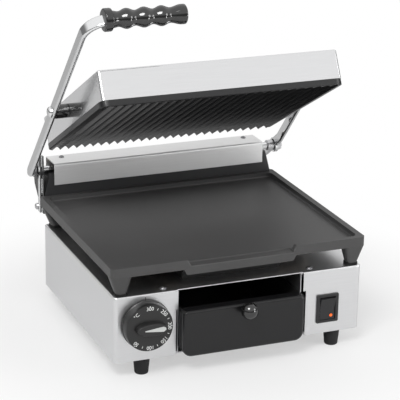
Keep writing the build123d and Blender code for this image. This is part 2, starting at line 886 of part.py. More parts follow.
# Holes in the rear rim for the hinge block's bolts, and under the clamp bars.
block_bolt_radius = 3.0
block_bolt_z = rim_z - 5.4
block_bolt_inset = 48.4
block_bolts_x = (block_bolt_inset - block_end, 0.0, block_end - block_bolt_inset)
block_bolt_grip = 9.0
for x in block_bolts_x:
    plate -= rod(
        "y", plate_rear_y - block_bolt_grip, plate_rear_y + 1, (x, block_bolt_z),
        block_bolt_radius + running_gap,
    )
clamp_bolt_radius = 2.0
clamp_bolt_depth = 4.0
clamp_x = 40.0
clamp_bolts_at = [
    (side * clamp_x, element_first + (row + 0.5) * element_step)
    for side in (-1, 1)
    for row in (0, 2)
]
for x, y in clamp_bolts_at:
    plate -= rod("z", under_z - 1, under_z + clamp_bolt_depth, (x, y), clamp_bolt_radius + running_gap)
bracket_front = hinge_y - 12.4
bracket_bottom = rim_z - 19.6
corner_gap = 0.3
plate -= block(
    (-plate_half_width - 1, -block_end + corner_gap),
    (bracket_front - corner_gap, plate_rear_y + 1),
    (bracket_bottom - corner_gap, rim_z + 1),
)
pieces["lower_plate"] = plate
pieces["lower_element"] = element_tube(lower_path, lower_start, element_radius)

# Clamp bars press the element into its channel.
clamp_width = 14.0
clamp_thickness = 2.0
clamp_top = element_z - element_radius
bars = []
for side in (-1, 1):
    bar_solid = block(
        (side * clamp_x - clamp_width / 2, side * clamp_x + clamp_width / 2),
        (element_first - 7, element_last + 7),
        (clamp_top - clamp_thickness, clamp_top),
    )
    for x, y in clamp_bolts_at:
        if x * side > 0:
            bar_solid -= rod(
                "z", clamp_top - 5, clamp_top + 1, (x, y), clamp_bolt_radius + running_gap
            )
            bolt_length = under_z + clamp_bolt_depth - 0.5 - (clamp_top - clamp_thickness)
            bars.append(
                screw_up(x, y, clamp_top - clamp_thickness, bolt_length, clamp_bolt_radius, 3.4, 2.0)
            )
    bars.append(bar_solid)
pieces["lower_element_clamps"] = Compound(children=bars)

# Element housing: the dark box between the body and the plate.
housing_half = 56.0
housing_inset = 26.0
housing_front = front_y + housing_inset
housing_rear = rear_y - housing_inset
housing_top = clamp_top - clamp_thickness - 2.6
box = block((-housing_half, housing_half), (housing_front, housing_rear), (top_z, housing_top))
box -= block(
    (-housing_half + sheet, housing_half - sheet),
    (housing_front + sheet, housing_rear - sheet),
    (top_z + sheet, housing_top + 1),
)
box -= rod("z", top_z - 1, top_z + 3, (0, passage_y), passage_radius)
pieces["element_housing"] = box

# Pads and bolts of the legs
pads = []
leg_bolts = []
bolt_seat = top_z - sheet
for x, y in legs_at:
    pad = extrude(
        Pos(x, y, top_z) * RectangleRounded(leg_foot_width + 1.6, leg_foot_depth + 1.6, 4.0),
        pad_thickness,
    )
    pad -= rod("z", top_z - 1, top_z + pad_thickness + 1, (x, y), leg_bolt_radius + running_gap)
    pads.append(pad)
    bolt = rod(
        "z", bolt_seat, top_z + pad_thickness + leg_bolt_depth - 1, (x, y), leg_bolt_radius
    )
    bolt += hexagon("z", bolt_seat - 3.5, bolt_seat, (x, y), 8.0)
    leg_bolts.append(bolt)
pieces["leg_pads"] = Compound(children=pads)
pieces["leg_bolts"] = Compound(children=leg_bolts)

# Hinge block.
block_bottom = rim_z - 23.4
block_front = plate_rear_y - 6.0
wall_top = hinge_z - 1.8
trough_z = hinge_z - 7.3
block_rear = cover_front + cover_depth - sheet - 1.3
block_taper = 6.4
block_top_end = block_end - block_taper
profile = outline(
    [
        (block_front, rim_z),
        (block_front + 1.0, wall_top),
        (block_front + 5.5, wall_top),
        (block_front + 6.5, trough_z),
        (block_rear - 5.0, trough_z),
        (block_rear - 4.0, wall_top),
        (block_rear, wall_top),
        (block_rear, rim_z + 6.0),
        (plate_rear_y + 13.5, rim_z - 6.0),
        (plate_rear_y + 13.5, block_bottom),
        (plate_rear_y, block_bottom),
        (plate_rear_y, rim_z),
    ]
)
hinge_block = across(profile, -block_end, block_end)
hinge_block &= lengthwise(
    outline(
        [
            (-block_end, block_bottom - 1),
            (block_end, block_bottom - 1),
            (block_end, rim_z),
            (block_top_end, wall_top + 0.5),
            (-block_top_end, wall_top + 0.5),
            (-block_end, rim_z),
        ]
    ),
    block_front - 5,
    block_rear + 5,
)
cover_inner_top = cover_top - sheet
cover_screw_offset = 8.0
cover_screw_x = lug_inner + cover_screw_offset
cover_screw_y = hinge_y + 6.6
cover_screw_radius = 2.0
cover_screw_length = 5.0
bush_radius = shaft_radius + bush_wall
lug_profile = outline(
    [
        (hinge_y - 8.5, trough_z - 1),
        (hinge_y - 8.5, cover_inner_top - 4.0),
        (hinge_y - 5.0, cover_inner_top),
        (hinge_y + 9.5, cover_inner_top),
        (hinge_y + 11.5, cover_inner_top - 3.0),
        (hinge_y + 11.5, trough_z - 1),
    ]
)
for side in (-1, 1):
    ends = sorted((side * lug_inner, side * (lug_inner + lug_width)))
    hinge_block += across(lug_profile, *ends)
    hinge_block -= rod("x", ends[0] - 1, ends[1] + 1, (hinge_y, hinge_z), bush_radius)
    hinge_block -= rod(
        "z",
        cover_inner_top - cover_screw_length,
        cover_inner_top + 1,
        (side * cover_screw_x, cover_screw_y),
        cover_screw_radius,
    )
bolt_head_y = plate_rear_y + 13.5
for x in block_bolts_x:
    hinge_block -= rod(
        "y", plate_rear_y - 1, block_rear + 1, (x, block_bolt_z), block_bolt_radius + hole_gap
    )
    hinge_block -= rod("y", bolt_head_y, block_rear + 1, (x, block_bolt_z), 7.0)
bracket_screw_y = hinge_y - 5.2
bracket_screw_z = rim_z - 14.0
bracket_screw_radius = 2.5
bracket_screw_length = 12.0
hinge_block -= rod(
    "x",
    -block_end - 1,
    -block_end + bracket_screw_length,
    (bracket_screw_y, bracket_screw_z),
    bracket_screw_radius + running_gap,
)
pieces["hinge_block"] = hinge_block

bolts = []
for x in block_bolts_x:
    bolt = rod(
        "y", plate_rear_y - block_bolt_grip + 0.5, bolt_head_y, (x, block_bolt_z), block_bolt_radius
    )
    head = extrude(RegularPolygon(5.0, 6, major_radius=False), 4.0)
    bolt += Pos(x, bolt_head_y, block_bolt_z) * Rot(-90, 0, 0) * head
    bolts.append(bolt)
pieces["hinge_block_bolts"] = Compound(children=bolts)

collar_radius = 7.0
collar_thickness = 1.2
for side, name in ((-1, "hinge_bush_left"), (1, "hinge_bush_right")):
    ends = sorted((side * lug_inner, side * (lug_inner + lug_width)))
    bush = rod("x", ends[0], ends[1], (hinge_y, hinge_z), bush_radius)
    rim = sorted((side * (lug_inner + lug_width), side * (lug_inner + lug_width + collar_thickness)))
    bush += rod("x", rim[0], rim[1], (hinge_y, hinge_z), collar_radius)
    bush -= rod(
        "x", ends[0] - 2, ends[1] + 2, (hinge_y, hinge_z), shaft_radius + running_gap
    )
    pieces[name] = bush

# Hinge bracket.
bracket_top = hinge_z + 20.0
hub_radius = 9.3
bracket_profile = outline(
    [
        (bracket_front, bracket_bottom + 3.0),
        (bracket_front, bracket_top - 5.0),
        (bracket_front + 4.0, bracket_top),
        (bracket_front + 8.0, bracket_top),
        (bracket_front + 11.5, bracket_top - 6.0),
        (hinge_y + 8.0, hinge_z + 4.5),
        (hinge_y + 8.6, hinge_z - 7.3),
        (hinge_y + 12.6, hinge_z - 28.8),
        (hinge_y - 1.0, hinge_z - 29.9),
        (hinge_y - 1.0, bracket_bottom + 3.0),
        (hinge_y - 4.0, bracket_bottom),
        (bracket_front + 3.0, bracket_bottom),
    ]
)
bracket = across(bracket_profile, -block_end - bracket_thickness, -block_end)
bracket += rod(
    "x", -block_end - bracket_thickness, -block_end, (hinge_y, hinge_z), hub_radius
)
groove_width = 1.4
groove_depth = 2.0
bracket_mid = -block_end - bracket_thickness / 2
bracket -= block(
    (bracket_mid - groove_width / 2, bracket_mid + groove_width / 2),
    (bracket_front - 1, bracket_front + groove_depth),
    (bracket_bottom + 6, bracket_top + 1),
)
bracket -= rod(
    "x",
    -block_end - bracket_thickness - 1,
    -block_end + 1,
    (hinge_y, hinge_z),
    shaft_radius + running_gap,
)
bracket -= rod(
    "x",
    -block_end - bracket_thickness - 1,
    -block_end + 1,
    (bracket_screw_y, bracket_screw_z),
    bracket_screw_radius + running_gap,
)
pieces["hinge_bracket"] = bracket

bracket_face = -block_end - bracket_thickness
bracket_screw = rod(
    "x",
    bracket_face,
    -block_end + bracket_screw_length - 0.5,
    (bracket_screw_y, bracket_screw_z),
    bracket_screw_radius,
)
bracket_screw += Pos(bracket_face, bracket_screw_y, bracket_screw_z) * Rot(0, -90, 0) * dome(3.8, 3.0)
pieces["bracket_screw"] = bracket_screw

# Rear cover.
cover_rear = cover_front + cover_depth
rear_cover = block(
    (-cover_half_width, cover_half_width),
    (cover_front, cover_rear),
    (cover_top - cover_skirt, cover_top),
)
rear_cover = fillet(
    rear_cover.edges().filter_by(Axis.X).group_by(Axis.Z)[-1], cover_fold
)
cover_inside = block(
    (-cover_half_width - 1, cover_half_width + 1),
    (cover_front + sheet, cover_rear - sheet),
    (cover_top - cover_skirt - 1, cover_inner_top),
)
cover_inside = fillet(
    cover_inside.edges().filter_by(Axis.X).group_by(Axis.Z)[-1], cover_fold - sheet
)
rear_cover -= cover_inside
for side in (-1, 1):
    rear_cover -= rod(
        "z",
        cover_inner_top - 1,
        cover_top + 1,
        (side * cover_screw_x, cover_screw_y),
        cover_screw_radius + hole_gap,
    )
pieces["rear_cover"] = rear_cover
cover_screws = []
for side in (-1, 1):
    cover_screws.append(
        screw_down(
            side * cover_screw_x,
            cover_screw_y,
            cover_top,
            cover_screw_length + sheet - 0.3,
            cover_screw_radius,
            3.8,
            1.8,
        )
    )
pieces["rear_cover_screws"] = Compound(children=cover_screws)

# Arms.
lever_outer_x = lever_inner_x + bar_thickness
lever_mid_x = -(lever_inner_x + lever_outer_x) / 2
half_bar = bar_thickness / 2
bend_y = -(grip_reach - bar_bend_radius)
half_width = bar_width / 2
lever = block((-lever_outer_x, -lever_inner_x), (bend_y, 0), (-half_width, half_width))
lever += rod("x", -lever_outer_x, -lever_inner_x, (0, 0), half_width)
bend_face = (
    Circle(bar_bend_radius + half_bar) - Circle(bar_bend_radius - half_bar)
) & (Pos(-25, -25) * Rectangle(50, 50))
lever += Pos(lever_mid_x + bar_bend_radius, bend_y, -half_width) * extrude(bend_face, bar_width)
tang_start = lever_mid_x + bar_bend_radius
lever += block(
    (tang_start, grip_start), (-grip_reach - half_bar, -grip_reach + half_bar), (-half_width, half_width)
)
stud_end = grip_end - 14.0
lever += rod("x", grip_start - 1, stud_end, (-grip_reach, 0), pivot_bolt_radius)
lever -= rod(
    "x", -lever_outer_x - 1, -lever_inner_x + 1, (-pivot_reach, 0), pivot_bolt_radius + running_gap
)
pieces["lever_bar"] = on_arm(lever)

# Turned handle grip: a collar, four necks with three swells between, a flared end.
collar_r = 11.75
neck_r = 7.8
swell_r = 10.5
flare_r = 10.25
necks = [grip_start + offset for offset in (15.6, 33.4, 52.4, 70.6)]
swells = [grip_start + offset for offset in (24.4, 42.9, 61.5)]
grip_curve = [
    Polyline((grip_start, 0), (grip_start, collar_r - 1.0), (grip_start + 1.0, collar_r)),
    Line((grip_start + 1.0, collar_r), (grip_start + 11.0, collar_r)),
]
knots = [(grip_start + 11.0, collar_r)]
for index, neck in enumerate(necks):
    knots.append((neck, neck_r))
    if index < len(swells):
        knots.append((swells[index], swell_r))
knots.append((grip_end - 7.0, flare_r))
tangents = [(1, 0)] * len(knots)
grip_curve.append(Spline(*knots, tangents=tangents))
grip_curve.append(
    ThreePointArc(
        (grip_end - 7.0, flare_r), (grip_end - 2.0, flare_r - 2.8), (grip_end, 4.0)
    )
)
grip_curve.append(Polyline((grip_end, 4.0), (grip_end, 0), (grip_start, 0)))
grip = revolve(make_face(grip_curve), Axis.X)
grip -= rod("x", grip_start - 1, stud_end + 0.3, (0, 0), pivot_bolt_radius)
pieces["lever_grip"] = on_arm(Pos(0, -grip_reach, 0) * grip)

# Right arm: a flat bar, bent edgewise near the hinge, with a tail behind it.
bend_back = 71.4
bend_drop = 80.2
bend_radius = 35.0
tail_back = 22.6
tail_drop = 13.3
arm_bend = (pivot_y + bend_back, pivot_z - bend_drop)
arm_tail = (hinge_y + tail_back, hinge_z - tail_drop)
arm_line = FilletPolyline((pivot_y, pivot_z), arm_bend, arm_tail, radius=bend_radius)
arm_face = trace(arm_line, right_arm_width)
arm_face += Pos(pivot_y, pivot_z) * Circle(right_arm_width / 2)
arm_face += Pos(*arm_tail) * Circle(right_arm_width / 2)
arm_hub_radius = 8.5
arm_face += Pos(hinge_y, hinge_z) * Circle(arm_hub_radius)
right_arm_outer_x = right_arm_inner_x + bar_thickness
right_arm = across(arm_face, right_arm_inner_x, right_arm_outer_x)
right_arm -= rod(
    "x", right_arm_inner_x - 1, right_arm_outer_x + 1, (pivot_y, pivot_z),
    pivot_bolt_radius + running_gap,
)
thread_radius = 3.0
right_arm -= rod(
    "x", right_arm_inner_x - 1, right_arm_outer_x + 1, (hinge_y, hinge_z), thread_radius
)
pieces["right_arm"] = right_arm

# Hinge shaft: welded to the lever, shouldered and nutted on the right arm.
shaft = rod("x", -lever_inner_x, right_arm_inner_x, (hinge_y, hinge_z), shaft_radius)
thread_end = 6.0
shaft += rod(
    "x", right_arm_inner_x - 1, right_arm_outer_x + thread_end, (hinge_y, hinge_z), thread_radius
)
pin_inset = 52.0
pin_x = lug_inner - pin_inset
spring_pin_radius = 1.25
pin_length = 7.6
for side in (-1, 1):
    shaft += rod("z", hinge_z, hinge_z + pin_length, (side * pin_x, hinge_y), spring_pin_radius)
pieces["hinge_shaft"] = shaft

washer_gap = 0.3
washers = []
left_washer = rod(
    "x", -lever_inner_x, bracket_face - washer_gap, (hinge_y, hinge_z), 7.0
)
left_washer -= rod(
    "x", -lever_inner_x - 1, bracket_face + 1, (hinge_y, hinge_z), shaft_radius + running_gap
)
washers.append(left_washer)
sleeve = rod("x", block_end + 1.0, right_arm_inner_x, (hinge_y, hinge_z), 6.2)
sleeve -= rod(
    "x", block_end, right_arm_inner_x + 1, (hinge_y, hinge_z), shaft_radius + running_gap
)
washers.append(sleeve)
pieces["shaft_washers"] = Compound(children=washers)

# Lid pivots: a bolt through the arm, a black spacer, the cover side and the lid bracket.
hub_inset = 14.0
hub_end_x = lid_half_width - hub_inset
spacer_radius = 7.5
spacer_gap = 0.4
nut_height = 4.0
nut_gap = 0.3
pivot_head_height = 3.6
lid_nuts = []
nut_flats = 12.0
for side, name, arm_inner in (
    (-1, "left", lever_inner_x),
    (1, "right", right_arm_inner_x),
):
    arm_outer = arm_inner + bar_thickness
    inner_end = hub_end_x - nut_gap - nut_height - 1.5
    low, high = sorted((side * arm_outer, side * inner_end))
    bolt = rod("x", low, high, (pivot_y, pivot_z), pivot_bolt_radius)
    turn = Rot(0, 90 * side, 0)
    bolt += Pos(side * arm_outer, pivot_y, pivot_z) * turn * dome(6.0, pivot_head_height)
    pieces["pivot_bolt_" + name] = bolt
    low, high = sorted((side * arm_inner, side * (lid_half_width + spacer_gap)))
    spacer = rod("x", low, high, (pivot_y, pivot_z), spacer_radius)
    spacer -= rod("x", low - 1, high + 1, (pivot_y, pivot_z), pivot_bolt_radius + running_gap)
    pieces["pivot_spacer_" + name] = spacer
    low, high = sorted((side * (hub_end_x - nut_gap - nut_height), side * (hub_end_x - nut_gap)))
    nut = hexagon("x", low, high, (pivot_y, pivot_z), nut_flats)
    nut -= rod("x", low - 1, high + 1, (pivot_y, pivot_z), pivot_bolt_radius)
    lid_nuts.append(nut)
shaft_nut = hexagon(
    "x", right_arm_outer_x, right_arm_outer_x + nut_height, (hinge_y, hinge_z), nut_flats
)
shaft_nut -= rod(
    "x", right_arm_outer_x - 1, right_arm_outer_x + nut_height + 1, (hinge_y, hinge_z), thread_radius
)
lid_nuts.append(shaft_nut)
pieces["arm_nuts"] = Compound(children=lid_nuts)

# Lid, drawn level at its pivot.
lid_front = -lid_front_reach
lid_rear = lid_front + lid_depth
cover_low = -lid_pivot_height
cover_high = cover_low + lid_height
lid_cover = block((-lid_half_width, lid_half_width), (lid_front, lid_rear), (cover_low, cover_high))
lid_cover = fillet(lid_cover.edges().filter_by(Axis.Z), 3.0)
lid_cover = fillet(lid_cover.faces().sort_by(Axis.Z)[-1].edges(), 2.2)
lid_inside = block(
    (-lid_half_width + sheet, lid_half_width - sheet),
    (lid_front + sheet, lid_rear - sheet),
    (cover_low - 1, cover_high - sheet),
)
lid_inside = fillet(lid_inside.edges().filter_by(Axis.Z), 3.0 - sheet)
lid_cover -= lid_inside
side_hole = pivot_bolt_radius + 1.0
lid_cover -= rod("x", -lid_half_width - 1, lid_half_width + 1, (0, 0), side_hole)

lid_gland_x = 30.0
lid_gland_z = cover_low + 19.0
lid_cover -= rod("y", lid_rear - 5, lid_rear + 1, (lid_gland_x, lid_gland_z), 6.0)
lid_screw_radius = 2.0
lid_screw_inset = 34.0
lid_cover_screws_at = [
    (side * (lid_half_width - lid_screw_inset), cover_low + 6.0) for side in (-1, 1)
]
for x, z in lid_cover_screws_at:
    lid_cover -= rod("y", lid_rear - 5, lid_rear + 1, (x, z), lid_screw_radius + hole_gap)
pieces["lid_cover"] = on_lid(lid_cover)

plate_bottom = cover_low - lid_plate_drop
plate_top = cover_low + 6.5
lid_plate = block(
    (-lid_plate_half_width, lid_plate_half_width),
    (lid_front - lid_plate_proud, lid_rear + lid_plate_proud),
    (plate_bottom, cover_low),
)
lid_plate = fillet(lid_plate.edges().filter_by(Axis.Z), lid_plate_corner)
boss_inset = 0.3
boss = block(
    (-lid_half_width + sheet + boss_inset, lid_half_width - sheet - boss_inset),
    (lid_front + sheet + boss_inset, lid_rear - sheet - boss_inset),
    (cover_low - 1, plate_top),
)
lid_plate += fillet(boss.edges().filter_by(Axis.Z), 3.0 - sheet)
groove_radius = 4.4
groove_centre = plate_bottom - (groove_radius - rib_depth)
for index in range(rib_count - 1):
    place_x = (index - (rib_count - 2) / 2) * rib_pitch
    lid_plate -= rod(
        "y", lid_front + rib_border, lid_rear + 2, (place_x, groove_centre), groove_radius
    )
lid_element_z = plate_top - 2.0 + element_radius
lid_element_inset = 34.0
lid_first = lid_front + lid_element_inset
lid_last = lid_rear - lid_element_inset - 0.6
lid_half_span = lid_half_width - lid_element_inset
lid_path = element_path(lid_half_span, lid_first, lid_last, lid_element_z)
lid_reach = lid_half_span - (lid_last - lid_first) / 6
lid_start = (-lid_reach, lid_first, lid_element_z)
lid_plate -= element_tube(lid_path, lid_start, element_radius + element_gap)
for y in (lid_first, lid_last):
    lid_plate -= rod(
        "x", -lid_reach - 1, -lid_reach, (y, lid_element_z), element_radius + element_gap
    )
lid_screws = []
for x, z in lid_cover_screws_at:
    lid_plate -= rod("y", lid_rear - 14, lid_rear, (x, z), lid_screw_radius + running_gap)
    screw = rod("y", lid_rear - 13, lid_rear, (x, z), lid_screw_radius)
    lid_screws.append(screw + Pos(x, lid_rear, z) * Rot(-90, 0, 0) * dome(3.6, 2.0))

# Pivot brackets: an upright against the cover side, a hub and a screwed foot.
upright_outer = lid_half_width - sheet - 0.1
upright_thickness = 3.5
bracket_reach = 22.0
bracket_rise = 10.0
holder_foot = 24.0
foot_inner = lid_half_width - holder_foot
holder_screw_inset = 17.0
foot_thickness = 3.0
for side, name in ((-1, "left"), (1, "right")):
    xs = sorted((side * upright_outer, side * (upright_outer - upright_thickness)))
    upright = block(xs, (-bracket_reach, bracket_reach), (plate_top, bracket_rise))
    upright = fillet(upright.edges().filter_by(Axis.X).group_by(Axis.Z)[-1], 8.0)
    xs = sorted((side * upright_outer, side * foot_inner))
    holder = upright + block(
        xs, (-bracket_reach, bracket_reach), (plate_top, plate_top + foot_thickness)
    )
    xs = sorted((side * hub_end_x, side * (upright_outer - 1)))
    holder += rod("x", xs[0], xs[1], (0, 0), 7.0)
    xs = sorted((side * (hub_end_x - 2), side * (lid_half_width + 1)))
    holder -= rod("x", xs[0], xs[1], (0, 0), pivot_bolt_radius + running_gap)
    for y in (-16.0, 16.0):
        x = side * (lid_half_width - holder_screw_inset)
        holder -= rod("z", plate_top - 1, plate_top + 5, (x, y), lid_screw_radius + running_gap)
        lid_plate -= rod("z", plate_top - 6, plate_top + 1, (x, y), lid_screw_radius + running_gap)
        lid_screws.append(
            screw_down(x, y, plate_top + foot_thickness, 8.5, lid_screw_radius, 3.6, 2.0)
        )
    pieces["lid_bracket_" + name] = on_lid(holder)
pieces["lid_screws"] = on_lid(Compound(children=lid_screws))

lid_clamp_x = 40.0
lid_clamp_z = lid_element_z + element_radius
lid_clamps = []
for side in (-1, 1):
    x = side * lid_clamp_x
    bar_solid = block(
        (x - clamp_width / 2, x + clamp_width / 2),
        (lid_first - 7, lid_last + 7),
        (lid_clamp_z, lid_clamp_z + clamp_thickness),
    )
    for row in (0, 2):
        y = lid_first + (row + 0.5) * (lid_last - lid_first) / 3
        bar_solid -= rod("z", lid_clamp_z - 1, lid_clamp_z + 5, (x, y), clamp_bolt_radius + running_gap)
        depth = lid_clamp_z + clamp_thickness - plate_top + clamp_bolt_depth
        lid_plate -= rod(
            "z", plate_top - clamp_bolt_depth - 0.5, plate_top + 1, (x, y),
            clamp_bolt_radius + running_gap,
        )
        lid_clamps.append(
            screw_down(x, y, lid_clamp_z + clamp_thickness, depth, clamp_bolt_radius, 3.4, 2.0)
        )
    lid_clamps.append(bar_solid)
pieces["lid_element_clamps"] = on_lid(Compound(children=lid_clamps))
pieces["lid_plate"] = on_lid(lid_plate)
pieces["lid_element"] = on_lid(element_tube(lid_path, lid_start, element_radius))

mat_low = lid_clamp_z + clamp_thickness + 2.2
mat_high = cover_high - sheet - 0.2
mat_inset = 28.0
mat_half = lid_half_width - mat_inset
pieces["lid_insulation"] = on_lid(
    block((-mat_half, mat_half), (lid_first - 14, lid_last + 16), (mat_low, mat_high))
)

lid_gland = rod("y", lid_rear - sheet - 5.0, lid_rear, (lid_gland_x, lid_gland_z), 5.8)
lid_gland += rod("y", lid_rear, lid_rear + 7.0, (lid_gland_x, lid_gland_z), 7.5)
lid_gland -= rod("y", lid_rear - 10, lid_rear + 10, (lid_gland_x, lid_gland_z), 3.2)
pieces["lid_cable_gland"] = on_lid(lid_gland)


# Lid springs.
def coil_points(turns, mean_radius, pitch, steps_per_turn):
    """Points and unit tangents of a helix about X that starts at its rear."""
    rise = pitch / (2 * math.pi)
    norm = math.hypot(mean_radius, rise)
    stations = []
    for index in range(turns * steps_per_turn + 1):
        angle = 2 * math.pi * index / steps_per_turn
        point = Vector(
            rise * angle, mean_radius * math.cos(angle), mean_radius * math.sin(angle)
        )
        tangent = Vector(
            rise / norm,
            -mean_radius * math.sin(angle) / norm,
            mean_radius * math.cos(angle) / norm,
        )
        stations.append((point, tangent))
    return stations


def biarc(start, start_tangent, end, end_tangent):
    """Two arcs that join two points with the given directions."""
    chord = end - start
    total = start_tangent + end_tangent
    spread = 2 * (1 - start_tangent.dot(end_tangent))
    along = chord.dot(total)
    reach = (-along + math.sqrt(along * along + spread * chord.dot(chord))) / spread
    middle = (start + end + (start_tangent - end_tangent) * reach) * 0.5
    direction = (end - end_tangent * reach) - (start + start_tangent * reach)
    return [
        TangentArc(start, middle, tangent=start_tangent),
        TangentArc(middle, end, tangent=direction.normalized()),
    ]


spring_wire = 2.3
spring_inner_radius = 4.6
spring_turns = 14
spring_pitch = 2.9
spring_radius = spring_inner_radius + spring_wire / 2


def torsion_spring():
    """Wound spring about X: a straight leg down to the trough, coils, a short end."""
    stations = coil_points(spring_turns, spring_radius, spring_pitch, 4)
    first, first_tangent = stations[0]
    leg_length = hinge_z - trough_z - 0.3
    leg_start = first - Vector(0, 0, 1) * leg_length
    blend = first_tangent
    edges = [Line(first - blend * leg_length, first)]
    for (start, start_tangent), (end, end_tangent) in zip(stations, stations[1:]):
        edges += biarc(start, start_tangent, end, end_tangent)
    last, last_tangent = stations[-1]
    edges.append(Line(last, last + last_tangent * spring_wire))
    path = Wire(edges)
    section = Plane(origin=first - blend * leg_length, z_dir=blend) * Circle(spring_wire / 2)
    return sweep(section, path=path), stations


coil, coil_stations = torsion_spring()
least_gap = min(
    (a - b).length - spring_wire
    for i, (a, _) in enumerate(coil_stations)
    for b, _ in coil_stations[i + 3:]
)
print("least gap between spring turns:", round(least_gap, 2), "mm")
spring_start = -(pin_x + spring_pin_radius + 0.4 + spring_wire / 2 + spring_turns * spring_pitch)
left_spring = Pos(spring_start, hinge_y, hinge_z) * coil
pieces["lid_spring_left"] = left_spring
pieces["lid_spring_right"] = mirror(left_spring, Plane.YZ)

# Files. The origin is moved to the middle of everything that stands over the table.
left_end = -(lever_outer_x + pivot_head_height)
right_end = right_arm_outer_x + thread_end
front_end = ball_y - ball_radius
rear_end = arm_tail[0] + right_arm_width / 2
to_middle = Pos(-(left_end + right_end) / 2, -(front_end + rear_end) / 2, 0)
for name, piece in pieces.items():
    placed = [to_middle * solid for solid in piece.solids()]
    whole = placed[0] if len(placed) == 1 else Compound(children=placed)
    export_step(whole, "parts/" + name + ".step")
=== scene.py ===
"""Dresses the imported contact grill: finishes, softened edges, screws and dial marks.

Metres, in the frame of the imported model: +Z up, the front of the grill towards -Y. The size
fields of the sub-assemblies are millimetres about the body's centre, and degrees.
"""

from __future__ import annotations

import json
import logging
import math
from dataclasses import dataclass, field
from enum import Enum
from typing import Sequence

import bmesh
import bpy
from mathutils import Matrix, Vector

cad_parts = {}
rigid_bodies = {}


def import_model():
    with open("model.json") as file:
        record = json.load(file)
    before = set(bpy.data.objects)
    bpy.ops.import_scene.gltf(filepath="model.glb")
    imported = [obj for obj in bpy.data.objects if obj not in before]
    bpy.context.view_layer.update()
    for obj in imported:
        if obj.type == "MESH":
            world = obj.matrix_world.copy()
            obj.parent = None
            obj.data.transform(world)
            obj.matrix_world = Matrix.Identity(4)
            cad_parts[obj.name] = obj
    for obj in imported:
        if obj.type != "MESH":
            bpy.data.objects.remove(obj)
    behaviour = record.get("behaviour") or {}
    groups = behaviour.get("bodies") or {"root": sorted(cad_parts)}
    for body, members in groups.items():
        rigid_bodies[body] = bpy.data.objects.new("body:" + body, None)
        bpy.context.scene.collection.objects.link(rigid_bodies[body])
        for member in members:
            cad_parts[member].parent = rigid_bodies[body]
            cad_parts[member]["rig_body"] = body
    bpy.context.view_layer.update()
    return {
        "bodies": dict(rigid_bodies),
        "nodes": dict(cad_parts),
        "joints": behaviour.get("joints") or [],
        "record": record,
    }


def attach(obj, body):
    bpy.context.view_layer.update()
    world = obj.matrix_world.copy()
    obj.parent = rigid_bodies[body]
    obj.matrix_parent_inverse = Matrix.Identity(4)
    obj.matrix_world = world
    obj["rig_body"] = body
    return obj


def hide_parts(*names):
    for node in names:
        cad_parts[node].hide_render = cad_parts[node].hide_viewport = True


LOG = logging.getLogger("contact_grill")
MM = 0.001
ORIGIN_SHIFT = Vector((0.7, 7.0, 0.0)) * MM
SHAFT = (134.4, 150.3)
LID_PIVOT = (49.0, 243.05)
Colour = tuple[float, float, float]
Pair = tuple[float, float]


def from_body(x: float, y: float, z: float) -> Vector:
    """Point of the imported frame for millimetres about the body's centre."""
    return Vector((x, y, z)) * MM - ORIGIN_SHIFT


# Shader building.


class Channel:
    """A node socket that takes part in arithmetic, adding Math nodes as it goes."""

    def __init__(self, graph: Graph, socket: bpy.types.NodeSocket) -> None:
        """Keep the graph that owns the socket."""
        self.graph = graph
        self.socket = socket

    def _math(self, operation: str, *values: object) -> Channel:
        """Math node on the given values, which are channels or numbers."""
        return self.graph.node("ShaderNodeMath", dict(enumerate(values)), operation=operation)

    def __add__(self, other: object) -> Channel:
        """Sum."""
        return self._math("ADD", self, other)

    __radd__ = __add__

    def __rsub__(self, other: object) -> Channel:
        """Reflected difference, so that 1 - mask works."""
        return self._math("SUBTRACT", other, self)

    def __mul__(self, other: object) -> Channel:
        """Product."""
        return self._math("MULTIPLY", self, other)

    def at_least(self, other: object) -> Channel:
        """Larger of the two values."""
        return self._math("MAXIMUM", self, other)


